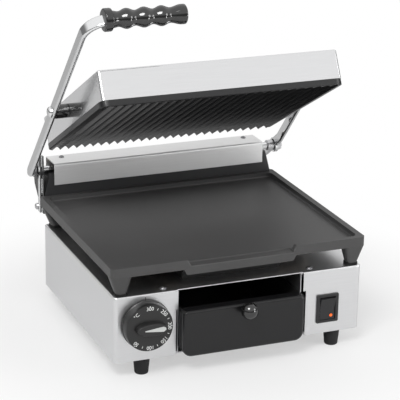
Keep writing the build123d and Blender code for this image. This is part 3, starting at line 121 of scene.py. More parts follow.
class Graph:
    """Node tree of a material or of the world."""

    def __init__(self, owner: bpy.types.Material | bpy.types.World) -> None:
        """Turn on the owner's nodes.

        Args:
            owner: Material or world that keeps the tree.
        """
        owner.use_nodes = True
        self.owner = owner
        self.tree = owner.node_tree

    def node(
        self, kind: str, inputs: dict | None = None, output: str | int = 0, **settings: object
    ) -> Channel:
        """Add any node.

        Args:
            kind: Blender's node type.
            inputs: Values or channels by socket name or number.
            output: Name or number of the output.
            **settings: Attributes that are set before the inputs.

        Returns:
            The node's output.
        """
        made = self.tree.nodes.new(kind)
        for key, value in settings.items():
            setattr(made, key, value)
        for key, value in (inputs or {}).items():
            self.feed(made.inputs[key], value)
        return Channel(self, made.outputs[output])

    def feed(self, socket: bpy.types.NodeSocket, value: object) -> None:
        """Link a channel to a socket, or set a plain value on it."""
        if isinstance(value, Channel):
            self.tree.links.new(value.socket, socket)
        elif isinstance(value, tuple) and socket.type == "RGBA":
            socket.default_value = (*value, 1.0)
        else:
            socket.default_value = value

    def place(self, scale: Sequence[float]) -> Channel:
        """Object coordinates, stretched by a scale for each axis."""
        spot = self.node("ShaderNodeTexCoord", output="Object")
        return self.node("ShaderNodeMapping", {"Vector": spot, "Scale": tuple(scale)})

    def noise(self, scale: float, detail: float, stretch: Sequence[float] = (1, 1, 1)) -> Channel:
        """Noise of a scale in features per metre, about 0.5 on average."""
        spot = self.place(stretch)
        inputs = {"Vector": spot, "Scale": scale, "Detail": detail, "Roughness": 0.55}
        return self.node("ShaderNodeTexNoise", inputs)

    def ramp(self, amount: Channel, low: float, high: float) -> Channel:
        """Grey that rises from black at low to white at high."""
        made = self.node("ShaderNodeValToRGB", {0: amount})
        for element, place in zip(made.socket.node.color_ramp.elements, (low, high)):
            element.position = place
        return made

    def rise(self, value: Channel, limits: Sequence[float]) -> Channel:
        """Smooth step of a value; the limits are from min, from max, to min and to max."""
        names = ("From Min", "From Max", "To Min", "To Max")
        inputs = {"Value": value, **dict(zip(names, limits))}
        return self.node("ShaderNodeMapRange", inputs, interpolation_type="SMOOTHSTEP")

    def tint(self, amount: Channel, low: object, high: object) -> Channel:
        """Colour between two colours."""
        return self.node("ShaderNodeMix", {0: amount, 6: low, 7: high}, 2, data_type="RGBA")

    def bump(self, height: Channel, depth: float, strength: float = 1.0) -> Channel:
        """Normal from a height between 0 and 1 and a depth in metres."""
        inputs = {"Height": height, "Distance": depth, "Strength": strength}
        return self.node("ShaderNodeBump", inputs)

    def finish(self, **sockets: object) -> bpy.types.Material:
        """Feed the Principled shader and return the material.

        Args:
            **sockets: Socket names with underscores for spaces, and their values.

        Returns:
            The material.
        """
        shader = self.tree.nodes["Principled BSDF"]
        for key, value in sockets.items():
            self.feed(shader.inputs[key.replace("_", " ")], value)
        return self.owner


class Grain(Enum):
    """Direction in which a sheet or bar was polished or drawn."""

    ALONG_X = (0.03, 1.0, 1.0)
    ALONG_Y = (1.0, 0.03, 1.0)
    NONE = (1.0, 1.0, 1.0)


@dataclass(frozen=True)
class Finish:
    """Named surface of one colour."""

    name: str
    colour: Colour

    def graph(self) -> Graph:
        """Nodes of a new material with the finish's name."""
        return Graph(bpy.data.materials.new(self.name))

    def shade(self, share: float) -> Colour:
        """The colour with its brightness multiplied by a share."""
        red, green, blue = self.colour
        return (red * share, green * share, blue * share)

    def build(self) -> bpy.types.Material:
        """Material of this finish."""
        raise NotImplementedError


@dataclass(frozen=True)
class MetalFinish(Finish):
    """Bare or plated metal with polishing lines, faint handling marks and, where asked for, a
    painted shade at grazing angles.
    """

    roughness: float
    grain: Grain = Grain.NONE
    line_scale: float = 900.0
    line_depth: float = 0.0000015
    smudge: float = 0.05
    painted_grazing_shade: float = 1.0
    line_shade: float = 0.92
    line_roughness: float = 0.05
    patch_scale: float = 9.0

    def build(self) -> bpy.types.Material:
        """Material of this finish; where a face turns away from the view, its colour is darkened
        by a set share, a painted shade that stands in for dark reflections.
        """
        graph = self.graph()
        lines = graph.noise(self.line_scale, 2.0, self.grain.value)
        marks = graph.ramp(graph.noise(self.patch_scale, 2.0), 0.35, 0.75)
        tone = graph.tint(lines, self.shade(self.line_shade), self.colour)
        # Painted shade: the colour darkens where the face turns away from the view, in place of
        # dark reflections.
        if self.painted_grazing_shade < 1.0:
            grazing_shade_mask = graph.node("ShaderNodeLayerWeight", {"Blend": 0.5}, "Facing")
            tone = graph.tint(grazing_shade_mask * grazing_shade_mask, tone, self.shade(self.painted_grazing_shade))
        base = self.roughness - 0.02
        return graph.finish(
            Base_Color=tone,
            Metallic=1.0,
            Roughness=base + marks * self.smudge + lines * self.line_roughness,
            Normal=graph.bump(lines, self.line_depth),
        )


@dataclass(frozen=True)
class CastFinish(Finish):
    """Enamelled or painted casting with an orange-peel skin and rubbed spots."""

    roughness: float
    grain_scale: float = 700.0
    grain_depth: float = 0.00012
    rub: float = 1.35
    specular: float = 0.5
    broad_scale: float = 22.0

    def build(self) -> bpy.types.Material:
        """Material of this finish."""
        graph = self.graph()
        fine = graph.noise(self.grain_scale, 4.0)
        broad = graph.noise(self.broad_scale, 5.0)
        return graph.finish(
            Base_Color=graph.tint(broad, self.colour, self.shade(self.rub)),
            Roughness=(self.roughness - 0.05) + fine * 0.06 + broad * 0.05,
            Normal=graph.bump(fine * 0.8 + broad * 0.2, self.grain_depth, 0.6),
            Specular_IOR_Level=self.specular,
        )


@dataclass(frozen=True)
class MouldedFinish(Finish):
    """Moulded plastic or rubber: one pigment, a spark-eroded skin, dull handling marks."""

    roughness: float
    skin_scale: float = 1600.0
    skin_depth: float = 0.00003
    specular: float = 0.5
    mark_scale: float = 35.0
    mark_shade: float = 1.25

    def build(self) -> bpy.types.Material:
        """Material of this finish."""
        graph = self.graph()
        marks = graph.noise(self.mark_scale, 4.0)
        return graph.finish(
            Base_Color=graph.tint(marks, self.colour, self.shade(self.mark_shade)),
            Roughness=(self.roughness - 0.04) + marks * 0.1,
            Normal=graph.bump(graph.noise(self.skin_scale, 2.0), self.skin_depth, 0.5),
            Specular_IOR_Level=self.specular,
        )


@dataclass(frozen=True)
class FibreFinish(Finish):
    """Felted mineral fibre with matted strands."""

    strand_scale: float = 420.0
    strand_depth: float = 0.0006

    def build(self) -> bpy.types.Material:
        """Material of this finish."""
        graph = self.graph()
        strands = graph.noise(self.strand_scale, 6.0, (1.0, 0.25, 1.0))
        return graph.finish(
            Base_Color=graph.tint(strands, self.shade(0.75), self.colour),
            Roughness=0.95,
            Normal=graph.bump(strands, self.strand_depth),
        )


@dataclass(frozen=True)
class LensFinish(Finish):
    """Small lamp window of coloured plastic with a glowing core."""

    glow: float
    ring_scale: float = 1500.0

    def build(self) -> bpy.types.Material:
        """Material of this finish."""
        graph = self.graph()
        rings = graph.noise(self.ring_scale, 1.0)
        return graph.finish(
            Base_Color=graph.tint(rings, self.shade(0.85), self.colour),
            Roughness=0.2,
            Emission_Color=graph.tint(rings, self.shade(0.8), self.colour),
            Emission_Strength=self.glow,
        )


STEEL: Colour = (0.77, 0.772, 0.78)
CHROME: Colour = (0.86, 0.865, 0.87)
FINISHES: dict[str, Finish] = {
    finish.name: finish
    for finish in (
        MetalFinish("polished_steel", STEEL, 0.15, Grain.ALONG_X),
        MetalFinish("brushed_steel", STEEL, 0.30, Grain.ALONG_X, 1100.0),
        MetalFinish("satin_steel", (0.86, 0.86, 0.86), 0.48, Grain.ALONG_X, 700.0),
        MetalFinish("mill_steel", (0.55, 0.55, 0.56), 0.36, Grain.ALONG_X, 500.0, 5e-6),
        MouldedFinish("rubber_foot", (0.012, 0.012, 0.013), 0.6, 900.0, 6e-5, 0.3),
        MetalFinish("screw_steel", (0.58, 0.58, 0.59), 0.28),
        MouldedFinish("switch_black", (0.016, 0.016, 0.017), 0.35, 1600.0, 2e-5, 0.4),
        MetalFinish("screw_dull", (0.30, 0.30, 0.31), 0.45),
        MetalFinish("thermostat_metal", (0.58, 0.58, 0.58), 0.4),
        MetalFinish("copper_tube", (0.72, 0.40, 0.26), 0.3, Grain.ALONG_X),
        MouldedFinish("ceramic_block", (0.80, 0.77, 0.70), 0.7, 700.0, 6e-5),
        MouldedFinish("gland_nylon", (0.014, 0.014, 0.014), 0.5, 1600.0, 3e-5, 0.3),
        CastFinish("enamel_plate", (0.046, 0.0455, 0.0455), 0.44, specular=0.4),
        MouldedFinish("pad_black", (0.010, 0.010, 0.010), 0.8, 600.0, 9e-5, 0.2),
        MetalFinish("element_steel", (0.26, 0.22, 0.19), 0.45, Grain.ALONG_X),
        MetalFinish("clamp_steel", (0.5, 0.5, 0.5), 0.34, Grain.ALONG_Y),
        CastFinish("housing_dark", (0.014, 0.014, 0.014), 0.6, specular=0.3),
        CastFinish("hinge_dark", (0.017, 0.017, 0.018), 0.4, specular=0.5),
        MetalFinish("bronze_bush", (0.55, 0.38, 0.18), 0.45),
        # chrome_arm: its last number is a painted shade that darkens the colour to 0.35 where the
        # bar turns away from the view.
        MetalFinish("chrome_arm", CHROME, 0.05, Grain.NONE, 300.0, 1e-6, 0.03, 0.35),
        MetalFinish("spring_steel", (0.22, 0.22, 0.24), 0.35),
        MouldedFinish("grip_black", (0.004, 0.004, 0.004), 0.11, 120.0, 1e-6, 0.95),
        MouldedFinish("spacer_black", (0.006, 0.006, 0.006), 0.14, 300.0, 2e-6, 0.9),
        CastFinish("ribbed_iron", (0.0045, 0.0045, 0.005), 0.34, specular=0.55),
        FibreFinish("insulation_mat", (0.78, 0.75, 0.66)),
        MetalFinish("gland_metal", (0.55, 0.55, 0.56), 0.3),
        CastFinish("drawer_black", (0.006, 0.006, 0.0065), 0.25, 1300.0, 8e-6, 1.2, 0.45),
        CastFinish("tray_steel", (0.012, 0.012, 0.012), 0.45, 1300.0, 5e-5, specular=0.3),
        MouldedFinish("knob_black", (0.012, 0.012, 0.012), 0.3, 1600.0, 2e-5, 0.5),
        MouldedFinish("pointer_grey", (0.42, 0.43, 0.42), 0.4),
        LensFinish("lamp_orange", (0.90, 0.13, 0.015), 0.6),
        MouldedFinish("mark_white", (0.72, 0.73, 0.72), 0.5, 2000.0, 5e-6),
        MouldedFinish("mark_dark", (0.05, 0.05, 0.05), 0.5, 2000.0, 5e-6),
    )
}


# Mesh building.


def settle(mesh: bpy.types.Mesh, smooth_angle: float = 32.0) -> None:
    """Shade a mesh smooth, with its real edges kept sharp."""
    mesh.shade_smooth()
    mesh.set_sharp_from_angle(angle=math.radians(smooth_angle))
    mesh.validate()


def applied(source: bpy.types.Object) -> bpy.types.Mesh:
    """Plain mesh of an object with all its modifiers worked in."""
    bpy.context.view_layer.update()
    graph = bpy.context.evaluated_depsgraph_get()
    mesh = bpy.data.meshes.new_from_object(source.evaluated_get(graph), depsgraph=graph)
    source.modifiers.clear()
    return mesh


def weighted(piece: bpy.types.Object) -> None:
    """Let the large faces of a piece carry its shading, so that they look flat."""
    modifier = piece.modifiers.new("weights", "WEIGHTED_NORMAL")
    modifier.mode = "FACE_AREA"
    modifier.weight = 90
    modifier.keep_sharp = True
    piece.data = applied(piece)


def link(name: str, data: bpy.types.ID) -> bpy.types.Object:
    """Object of a mesh, curve, lamp or camera, linked to the scene."""
    made = bpy.data.objects.new(name, data)
    bpy.context.scene.collection.objects.link(made)
    return made


def to_mesh(name: str, work: bmesh.types.BMesh, outward: bool = True) -> bpy.types.Mesh:
    """Mesh of finished work, which is freed.

    Args:
        name: Name of the mesh.
        work: The finished work.
        outward: Whether the normals are turned outward first.

    Returns:
        The mesh.
    """
    if outward:
        bmesh.ops.recalc_face_normals(work, faces=work.faces[:])
    mesh = bpy.data.meshes.new(name)
    work.to_mesh(mesh)
    work.free()
    return mesh


def fused(name: str, *meshes: bpy.types.Mesh) -> bpy.types.Mesh:
    """One mesh of several."""
    work = bmesh.new()
    for mesh in meshes:
        work.from_mesh(mesh)
    return to_mesh(name, work, outward=False)


def strip(work: bmesh.types.BMesh, low: Sequence, high: Sequence) -> None:
    """Row of faces between two equal rows of vertices."""
    for k in range(len(low) - 1):
        work.faces.new((low[k], low[k + 1], high[k + 1], high[k]))


def circle(steps: int) -> list[Pair]:
    """Cosine and sine of each step round a circle."""
    turns = [2 * math.pi * k / steps for k in range(steps)]
    return [(math.cos(turn), math.sin(turn)) for turn in turns]


def skin(name: str, loops: Sequence[Sequence[Vector]], closed: bool = False) -> bpy.types.Mesh:
    """Closed mesh through loops of equal length.

    Args:
        name: Name of the mesh.
        loops: Loops of points in metres.
        closed: Whether the last loop joins the first one, instead of two end faces.

    Returns:
        The mesh, normals outward.
    """
    work = bmesh.new()
    rows = [[work.verts.new(point) for point in loop] for loop in loops]
    for low, high in zip(rows, rows[1:] + (rows[:1] if closed else [])):
        strip(work, [*low, low[0]], [*high, high[0]])
    if not closed:
        work.faces.new(rows[0])
        work.faces.new(rows[-1])
    return to_mesh(name, work)


def rounded_loop(
    half_x: float, half_z: float, radii: Sequence[float], steps: int = 6
) -> list[Pair]:
    """Rounded rectangle, anticlockwise from its top right corner.

    Args:
        half_x: Half width.
        half_z: Half height.
        radii: Radii of the corners: top right, top left, bottom left, bottom right.
        steps: Steps of each corner.

    Returns:
        Points about the middle.
    """
    signs = ((1, 1), (-1, 1), (-1, -1), (1, -1))
    points = []
    for number, ((sx, sz), radius) in enumerate(zip(signs, radii)):
        cx, cz = sx * (half_x - radius), sz * (half_z - radius)
        for step in range(steps + 1):
            turn = math.radians(90 * (number + step / steps))
            points.append((cx + radius * math.cos(turn), cz + radius * math.sin(turn)))
    return points


def lathe_x(
    name: str, profile: Sequence[Pair], y: float, z: float, ring: bool = False
) -> bpy.types.Mesh:
    """Turned piece about an axis along X, from (x, radius) pairs; a ring has a bore."""
    round_points = circle(48)
    loops = [
        [from_body(x, y + r * cos, z + r * sin) for cos, sin in round_points] for x, r in profile
    ]
    return skin(name, loops, closed=ring)


def eased(knots: Sequence[Pair], steps: int = 8) -> list[Pair]:
    """Profile through (place, radius) knots with level tangents at each of them."""
    points = [knots[0]]
    for (x0, r0), (x1, r1) in zip(knots, knots[1:]):
        for step in range(1, steps + 1):
            share = step / steps
            radius = r0 + (r1 - r0) * share * share * (3 - 2 * share)
            points.append((x0 + (x1 - x0) * share, radius))
    return points


@dataclass
class Bench:
    """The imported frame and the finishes, shared by every sub-assembly."""

    frame: dict
    materials: dict[str, bpy.types.Material] = field(default_factory=dict)
    slots: dict[str, str] = field(default_factory=dict)

    def __post_init__(self) -> None:
        """Read which slot each node uses."""
        for row in self.frame["record"]["subparts"]:
            self.slots[row["node"]] = row["material_slot"]

    def material(self, slot: str) -> bpy.types.Material:
        """Material of a slot, built when first asked for."""
        if slot not in self.materials:
            self.materials[slot] = FINISHES[slot].build()
        return self.materials[slot]

    def keep(self, *nodes: str) -> None:
        """Give CAD nodes their finish and show them as they are."""
        for name in nodes:
            node = self.frame["nodes"][name]
            node.data.materials.clear()
            node.data.materials.append(self.material(self.slots[name]))
            LOG.info("%s: kept, %s", name, self.slots[name])

    def add(self, piece: bpy.types.Object, body: str, slot: str, paint: str = "") -> None:
        """Put a finished piece on its body.

        Args:
            piece: Object whose place is in its mesh.
            body: Body that it rides on.
            slot: The record's material slot.
            paint: Finish that isn't one of the record's slots.
        """
        piece.data.materials.clear()
        piece.data.materials.append(self.material(paint or slot))
        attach(piece, body)
        LOG.info("%s: %d faces on %s", piece.name, len(piece.data.polygons), body)

    def swap(self, node: str, mesh: bpy.types.Mesh, angle: float = 32.0, paint: str = "") -> None:
        """Replace a CAD node by a mesh made in this script.

        Args:
            node: The CAD node.
            mesh: The mesh that takes its place.
            angle: Edges that turn more than this many degrees stay sharp.
            paint: Finish that isn't one of the record's slots.
        """
        settle(mesh, angle)
        piece = link(node + "_dressed", mesh)
        weighted(piece)
        self.add(piece, self.frame["nodes"][node]["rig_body"], self.slots[node], paint)
        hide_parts(node)

    def merged(self, node: str) -> bmesh.types.BMesh:
        """Mesh of a CAD node with its loose triangles joined and its flats made whole."""
        work = bmesh.new()
        work.from_mesh(self.frame["nodes"][node].data)
        for face in work.faces:
            face.material_index = 0
        bmesh.ops.remove_doubles(work, verts=work.verts[:], dist=2e-6)
        bmesh.ops.dissolve_limit(
            work, angle_limit=math.radians(0.3), verts=work.verts[:], edges=work.edges[:]
        )
        return work

    def soften(self, node: str, width: float = 0.0, segments: int = 2, paint: str = "") -> None:
        """Replace a CAD node by a smooth copy whose edges are broken as on the real piece.

        Args:
            node: The CAD node.
            width: Width of the broken edge, in millimetres; 0 leaves the edges as they are.
            segments: Steps of the rounding.
            paint: Finish that isn't one of the record's slots.
        """
        work = self.merged(node)
        if width > 0.0:
            short, turn = 2.2 * width * MM, math.radians(35.0)
            tight = {v for e in work.edges if e.calc_length() < short for v in e.verts}
            edges = [
                e
                for e in work.edges
                if len(e.link_faces) == 2
                and e.calc_face_angle(0.0) > turn
                and not (e.verts[0] in tight or e.verts[1] in tight)
            ]
            bmesh.ops.bevel(
                work, geom=edges, offset=width * MM, offset_type="OFFSET", segments=segments,
                profile=0.5, affect="EDGES", clamp_overlap=False, miter_outer="ARC",
            )
        self.swap(node, to_mesh(node + "_dressed", work, outward=False), paint=paint)


# Screws and marks that repeat.


@dataclass(frozen=True)
class Screw:
    """Domed screw with a cross recess, in millimetres."""

    radius: float
    height: float
    shank: float
    length: float
    rings: int = 14
    steps: int = 40

    def _head_z(self, x: float, y: float, reach: float) -> float:
        """Height of the domed head at a point, sunk where the cross recess is."""
        arm, span, depth = 0.16 * self.radius, 0.62 * self.radius, 0.55 * self.height
        across, along = min(abs(x), abs(y)), max(abs(x), abs(y))
        inside = max(0.0, min(1.0, (arm - across) / (0.35 * arm)))
        sunk = depth * inside * max(0.0, min(1.0, (span - along) / (0.3 * span)))
        return self.height * (1.0 - 0.72 * reach**2.4) - sunk

    def mesh(self, name: str) -> bpy.types.Mesh:
        """Mesh in metres, its seat at z = 0 and its shank below."""
        round_points = circle(self.steps)
        work = bmesh.new()
        top = work.verts.new((0, 0, self._head_z(0.0, 0.0, 0.0)))
        loops = []
        for reach in (ring / self.rings for ring in range(1, self.rings + 1)):
            wide = self.radius * reach
            spots = [(wide * cos, wide * sin) for cos, sin in round_points]
            loops.append([work.verts.new((x, y, self._head_z(x, y, reach))) for x, y in spots])
        tip = ((self.shank, -self.length + 0.4), (self.shank - 0.4, -self.length))
        for wide, level in ((self.radius, 0.0), (self.shank, 0.0), *tip):
            spots = [(wide * cos, wide * sin) for cos, sin in round_points]
            loops.append([work.verts.new((x, y, level)) for x, y in spots])
        for k in range(self.steps):
            work.faces.new((top, loops[0][k], loops[0][(k + 1) % self.steps]))
        for upper, lower in zip(loops, loops[1:]):
            for k in range(self.steps):
                after = (k + 1) % self.steps
                work.faces.new((upper[k], lower[k], lower[after], upper[after]))
        work.faces.new(list(reversed(loops[-1])))
        bmesh.ops.scale(work, vec=(MM, MM, MM), verts=work.verts[:])
        return to_mesh(name, work)


@dataclass
class Repeat:
    """Geometry Nodes tree that sets one shape on many points."""

    name: str
    shape: bpy.types.Mesh
    points: Sequence[Vector]
    turns: Sequence[Vector]

    def tree(self, material: bpy.types.Material) -> bpy.types.NodeTree:
        """Build the tree: points, instances, realized, with their material."""
        made = bpy.data.node_groups.new(self.name + "_tree", "GeometryNodeTree")
        for name, side, kind in (
            ("Points", "INPUT", "Geometry"),
            ("Shape", "INPUT", "Object"),
            ("Scale", "INPUT", "Float"),
            ("Geometry", "OUTPUT", "Geometry"),
        ):
            made.interface.new_socket(name, in_out=side, socket_type="NodeSocket" + kind)
        entry, leave = (made.nodes.new("NodeGroup" + kind) for kind in ("Input", "Output"))
        shape, turn, spread, real, paint = (
            made.nodes.new("GeometryNode" + kind)
            for kind in (
                "ObjectInfo", "InputNamedAttribute", "InstanceOnPoints", "RealizeInstances",
                "SetMaterial",
            )
        )
        turn.data_type = "FLOAT_VECTOR"
        turn.inputs["Name"].default_value = "turn"
        paint.inputs["Material"].default_value = material
        for source, output, target, socket in (
            (entry, "Shape", shape, "Object"),
            (entry, "Points", spread, "Points"),
            (shape, "Geometry", spread, "Instance"),
            (turn, "Attribute", spread, "Rotation"),
            (entry, "Scale", spread, "Scale"),
            (spread, "Instances", real, "Geometry"),
            (real, "Geometry", paint, "Geometry"),
            (paint, "Geometry", leave, "Geometry"),
        ):
            made.links.new(source.outputs[output], target.inputs[socket])
        return made

    def build(self, material: bpy.types.Material) -> bpy.types.Object:
        """Object with the shape at every point, as a plain mesh."""
        carrier = bpy.data.meshes.new(self.name)
        carrier.from_pydata([tuple(p) for p in self.points], [], [])
        turns = carrier.attributes.new("turn", "FLOAT_VECTOR", "POINT")
        turns.data.foreach_set("vector", [value for turn in self.turns for value in turn])
        master = link(self.name + "_master", self.shape)
        piece = link(self.name, carrier)
        group = self.tree(material)
        modifier = piece.modifiers.new("repeat", "NODES")
        modifier.node_group = group
        sockets = {s.name: s.identifier for s in group.interface.items_tree if s.in_out == "INPUT"}
        modifier[sockets["Shape"]] = master
        modifier[sockets["Scale"]] = 1.0
        piece.data = applied(piece)
        settle(piece.data, 40.0)
        bpy.data.objects.remove(master)
        return piece


def letters(text: str, height: float, depth: float) -> bpy.types.Mesh:
    """Mesh of a word that stands in the X-Z plane, centred, facing -Y.

    Args:
        text: Digits to write.
        height: Height of a digit, in metres.
        depth: Thickness, in metres.

    Returns:
        The mesh.
    """
    digit_share, thinning = 0.70, 0.008
    curve = bpy.data.curves.new("word_" + text, "FONT")
    curve.body = text
    curve.size = height / digit_share
    curve.extrude = depth / 2
    curve.offset = -height * thinning
    curve.align_x = curve.align_y = "CENTER"
    holder = link("word_" + text, curve)
    mesh = applied(holder)
    bpy.data.objects.remove(holder)
    low = Vector([min(v.co[i] for v in mesh.vertices) for i in range(3)])
    high = Vector([max(v.co[i] for v in mesh.vertices) for i in range(3)])
    middle = (low + high) / 2
    mesh.transform(Matrix.Rotation(math.radians(90), 4, "X") @ Matrix.Translation(-middle))
    return mesh


def bar_mesh(name: str, width: float, height: float, depth: float) -> bpy.types.Mesh:
    """Thin bar with rounded ends in the X-Z plane, for printed strokes.

    Args:
        name: Name of the mesh.
        width: Width of the stroke, in millimetres.
        height: Length of the stroke.
        depth: Thickness.

    Returns:
        The mesh, in metres.
    """
    outline = []
    for cos, sin in circle(16):
        lift = (height - width) / 2 * (1 if sin >= 0 else -1)
        outline.append((width / 2 * cos * MM, (width / 2 * sin + lift) * MM))
    half = depth * MM / 2
    return skin(name, [[Vector((x, y, z)) for x, z in outline] for y in (-half, half)])


# Sub-assemblies.


@dataclass
class Cabinet:
    """Folded sheet body with its bottom, back, feet and small hardware."""

    bench: Bench
    top_z: float = 91.5
    screw_x: float = 83.2
    screw_y: float = 105.7
    screw: Screw = Screw(3.75, 2.15, 1.9, 1.0)
    screw_turns: tuple[float, ...] = (0.3, 1.1, 0.7, 0.1)

    def make(self) -> None:
        """Dress the body."""
        self.bench.soften("base_shell", 0.25, 2, paint="brushed_steel")
        self.bench.keep("base_rear_panel", "base_bottom_plate", "foot_screws", "sheet_screws")
        for place in ("front_left", "front_right", "rear_left", "rear_right"):
            self.bench.soften("foot_" + place)
        self.bench.keep("drawer_runner_left", "drawer_runner_right", "terminal_block")
        self.bench.keep("cord_gland", "thermostat_capillary")
        self.top_screws()

    def top_screws(self) -> None:
        """Cross-recessed heads over the runner screws."""
        sides = [(sx, sy) for sx in (-1, 1) for sy in (-1, 1)]
        points = [from_body(sx * self.screw_x, sy * self.screw_y, self.top_z) for sx, sy in sides]
        turns = [Vector((0, 0, angle)) for angle in self.screw_turns]
        screws = Repeat("top_screw_heads", self.screw.mesh("top_screw"), points, turns)
        piece = screws.build(self.bench.material("screw_dull"))
        self.bench.add(piece, "body", "screw_steel", "screw_dull")


@dataclass
class Drawer:
    """Drip drawer with its black front and ball knob."""

    bench: Bench
    half_width: float = 68.6
    bottom_z: float = 20.0
    top_z: float = 71.5
    back_y: float = -117.0
    face_y: float = -129.4
    edge_radius: float = 3.4
    top_corner: float = 4.5
    bottom_corner: float = 10.0
    sheet: float = 1.2

    def make(self) -> None:
        """Dress the drawer."""
        self.bench.keep("drip_tray")
        self.bench.soften("drawer_knob")
        self.bench.swap("drawer_front", self.front())

    def _loop(self, y: float, inset: float) -> list[Vector]:
        """Outline of the front at a depth, drawn in by an inset."""
        half_z = (self.top_z - self.bottom_z) / 2
        radii = [max(0.6, r - inset) for r in (self.top_corner,) * 2 + (self.bottom_corner,) * 2]
        outline = rounded_loop(self.half_width - inset, half_z - inset, radii)
        return [from_body(x, y, z + self.bottom_z + half_z) for x, z in outline]

    def front(self) -> bpy.types.Mesh:
        """Pressed front with a rolled edge and an open back."""
        r, t = self.edge_radius, self.sheet
        outer = [self._loop(self.back_y, 0.0)]
        for turn in (math.radians(15 * k) for k in range(7)):
            rolled = self.face_y + r * (1 - math.sin(turn))
            outer.append(self._loop(rolled, r * (1 - math.cos(turn))))
        places = ((self.face_y + t, r), (self.face_y + r, t), (self.back_y, t))
        work = bmesh.new()
        work.from_mesh(skin("front_outer", outer))
        work.from_mesh(skin("front_inner", [self._loop(y, inset) for y, inset in places]))
        back = from_body(0, self.back_y, 0).y
        broad = [f for f in work.faces if len(f.verts) > 8]
        ends = [f for f in broad if abs(f.calc_center_median().y - back) < 1e-6]
        bmesh.ops.delete(work, geom=ends, context="FACES_ONLY")
        bmesh.ops.bridge_loops(work, edges=[e for e in work.edges if e.is_boundary])
        return to_mesh("drawer_front_pressed", work)


@dataclass
class Dial:
    """Thermostat dial with its numerals and graduation."""

    bench: Bench
    steps: int = 72
    centre_x: float = -106.0
    centre_z: float = 59.5
    back_y: float = -117.2
    face_y: float = -129.8
    skirt_profile: tuple[Pair, ...] = (
        (0.0, 25.9), (0.5, 26.5), (2.5, 26.5), (3.0, 26.0),
        (8.0, 25.9), (11.2, 25.6), (12.2, 25.1), (12.6, 24.3),
    )
    bar_profile: tuple[Pair, ...] = (
        (-0.6, 1.0), (1.0, 0.97), (3.0, 0.94), (4.6, 0.90), (5.6, 0.86), (6.2, 0.80),
    )
    bar_middle: float = 1.0
    bar_half_length: float = 17.6
    bar_half_width: float = 7.5
    lens_powers: Pair = (0.85, 1.15)
    pointer_middle: float = 4.0
    pointer_corners: tuple[Pair, ...] = (
        (-11.5, 0.5), (-11.5, -0.5), (6.0, -2.6), (8.9, -2.8),
        (11.5, -0.6), (10.9, 1.5), (8.4, 2.8),
    )
    pointer_levels: tuple[Pair, ...] = ((-1.4, 1.0), (0.15, 1.0), (0.3, 0.96))
    scale_step: float = 45.0
    numeral_radius: float = 21.5
    numeral_height: float = 3.9
    stroke_size: Pair = (0.5, 2.4)
    tick_radius: float = 24.2
    tick_size: Pair = (0.7, 0.8)
    print_depth: float = 0.16
    index_size: tuple[float, float, float] = (0.9, 5.0, 0.1)
    index_y: float = -116.03
    index_z: float = 86.0
    words: tuple[tuple[str, float], ...] = (
        ("300", 0.0), ("250", 45.0), ("200", 90.0), ("150", 135.0),
        ("100", 180.0), ("50", 225.0), ("°C", 317.0),
    )

    def make(self) -> None:
        """Dress the dial and print its scale."""
        self.bench.swap("thermostat_knob", self.knob())
        self.bench.swap("knob_pointer", self.pointer())
        self.bench.keep("thermostat_spindle", "thermostat_body")
        self.numerals()
        main = [k * self.scale_step for k in range(6)]
        between = [angle + self.scale_step / 2 for angle in main[:-1]]
        self.marks("dial_strokes", self.stroke_size, self.numeral_radius, between)
        self.marks("dial_ticks", self.tick_size, self.tick_radius, main)
        self.index_mark()

    def knob(self) -> bpy.types.Mesh:
        """Turned skirt with a lens-shaped finger bar across it."""
        round_points = circle(self.steps)
        skirt = skin("dial_skirt", [
            [
                from_body(self.centre_x + r * cos, self.back_y - depth, self.centre_z + r * sin)
                for cos, sin in round_points
            ]
            for depth, r in self.skirt_profile
        ])
        bar = skin("dial_bar", [self._lens(lift, share) for lift, share in self.bar_profile])
        return fused("dial_knob", skirt, bar)

    def _lens(self, lift: float, share: float) -> list[Vector]:
        """Outline of the finger bar at a height over the face."""
        reach = self.bar_half_length - (1 - share) * self.bar_half_width
        middle, y = self.centre_x + self.bar_middle, self.face_y - lift
        points = []
        for cos, sin in circle(self.steps):
            x = reach * math.copysign(abs(cos) ** self.lens_powers[0], cos)
            z = self.bar_half_width * share * math.copysign(abs(sin) ** self.lens_powers[1], sin)
            points.append(from_body(middle + x, y, self.centre_z + z))
        return points

    def pointer(self) -> bpy.types.Mesh:
        """Pale wedge let into the finger bar, its broad end on the set value."""
        middle = self.centre_x + self.pointer_middle
        loops = []
        for level, share in self.pointer_levels:
            y = self.face_y - (self.bar_profile[-1][0] + level)
            loops.append([
                from_body(middle + x * share, y, self.centre_z + z * share)
                for x, z in self.pointer_corners
            ])
        return skin("dial_pointer", loops)

    def _around(self, radius: float, degrees: float) -> Matrix:
        """Place on the dial's face at a clock angle, its top turned outwards."""
        turn = math.radians(degrees)
        x, z = self.centre_x + radius * math.sin(turn), self.centre_z + radius * math.cos(turn)
        spot = from_body(x, self.face_y - self.print_depth / 4, z)
        return Matrix.Translation(spot) @ Matrix.Rotation(turn, 4, "Y")

    def numerals(self) -> None:
        """Printed white digits, their tops outwards."""
        words = []
        for text, angle in self.words:
            word = letters(text, self.numeral_height * MM, self.print_depth * MM)
            word.transform(self._around(self.numeral_radius, angle))
            words.append(word)
        piece = link("dial_numerals", fused("dial_numerals", *words))
        self.bench.add(piece, "dial", "pointer_grey", "mark_white")

    def marks(self, name: str, size: Pair, radius: float, angles: Sequence[float]) -> None:
        """Printed strokes round the dial.

        Args:
            name: Name of the piece.
            size: Width and length of a stroke.
            radius: Radius of the ring of strokes.
            angles: Clock angles in degrees.
        """
        strokes = Repeat(
            name,
            bar_mesh(name + "_one", *size, self.print_depth),
            [self._around(radius, angle).to_translation() for angle in angles],
            [Vector((0, math.radians(angle), 0)) for angle in angles],
        )
        piece = strokes.build(self.bench.material("mark_white"))
        self.bench.add(piece, "dial", "pointer_grey", "mark_white")

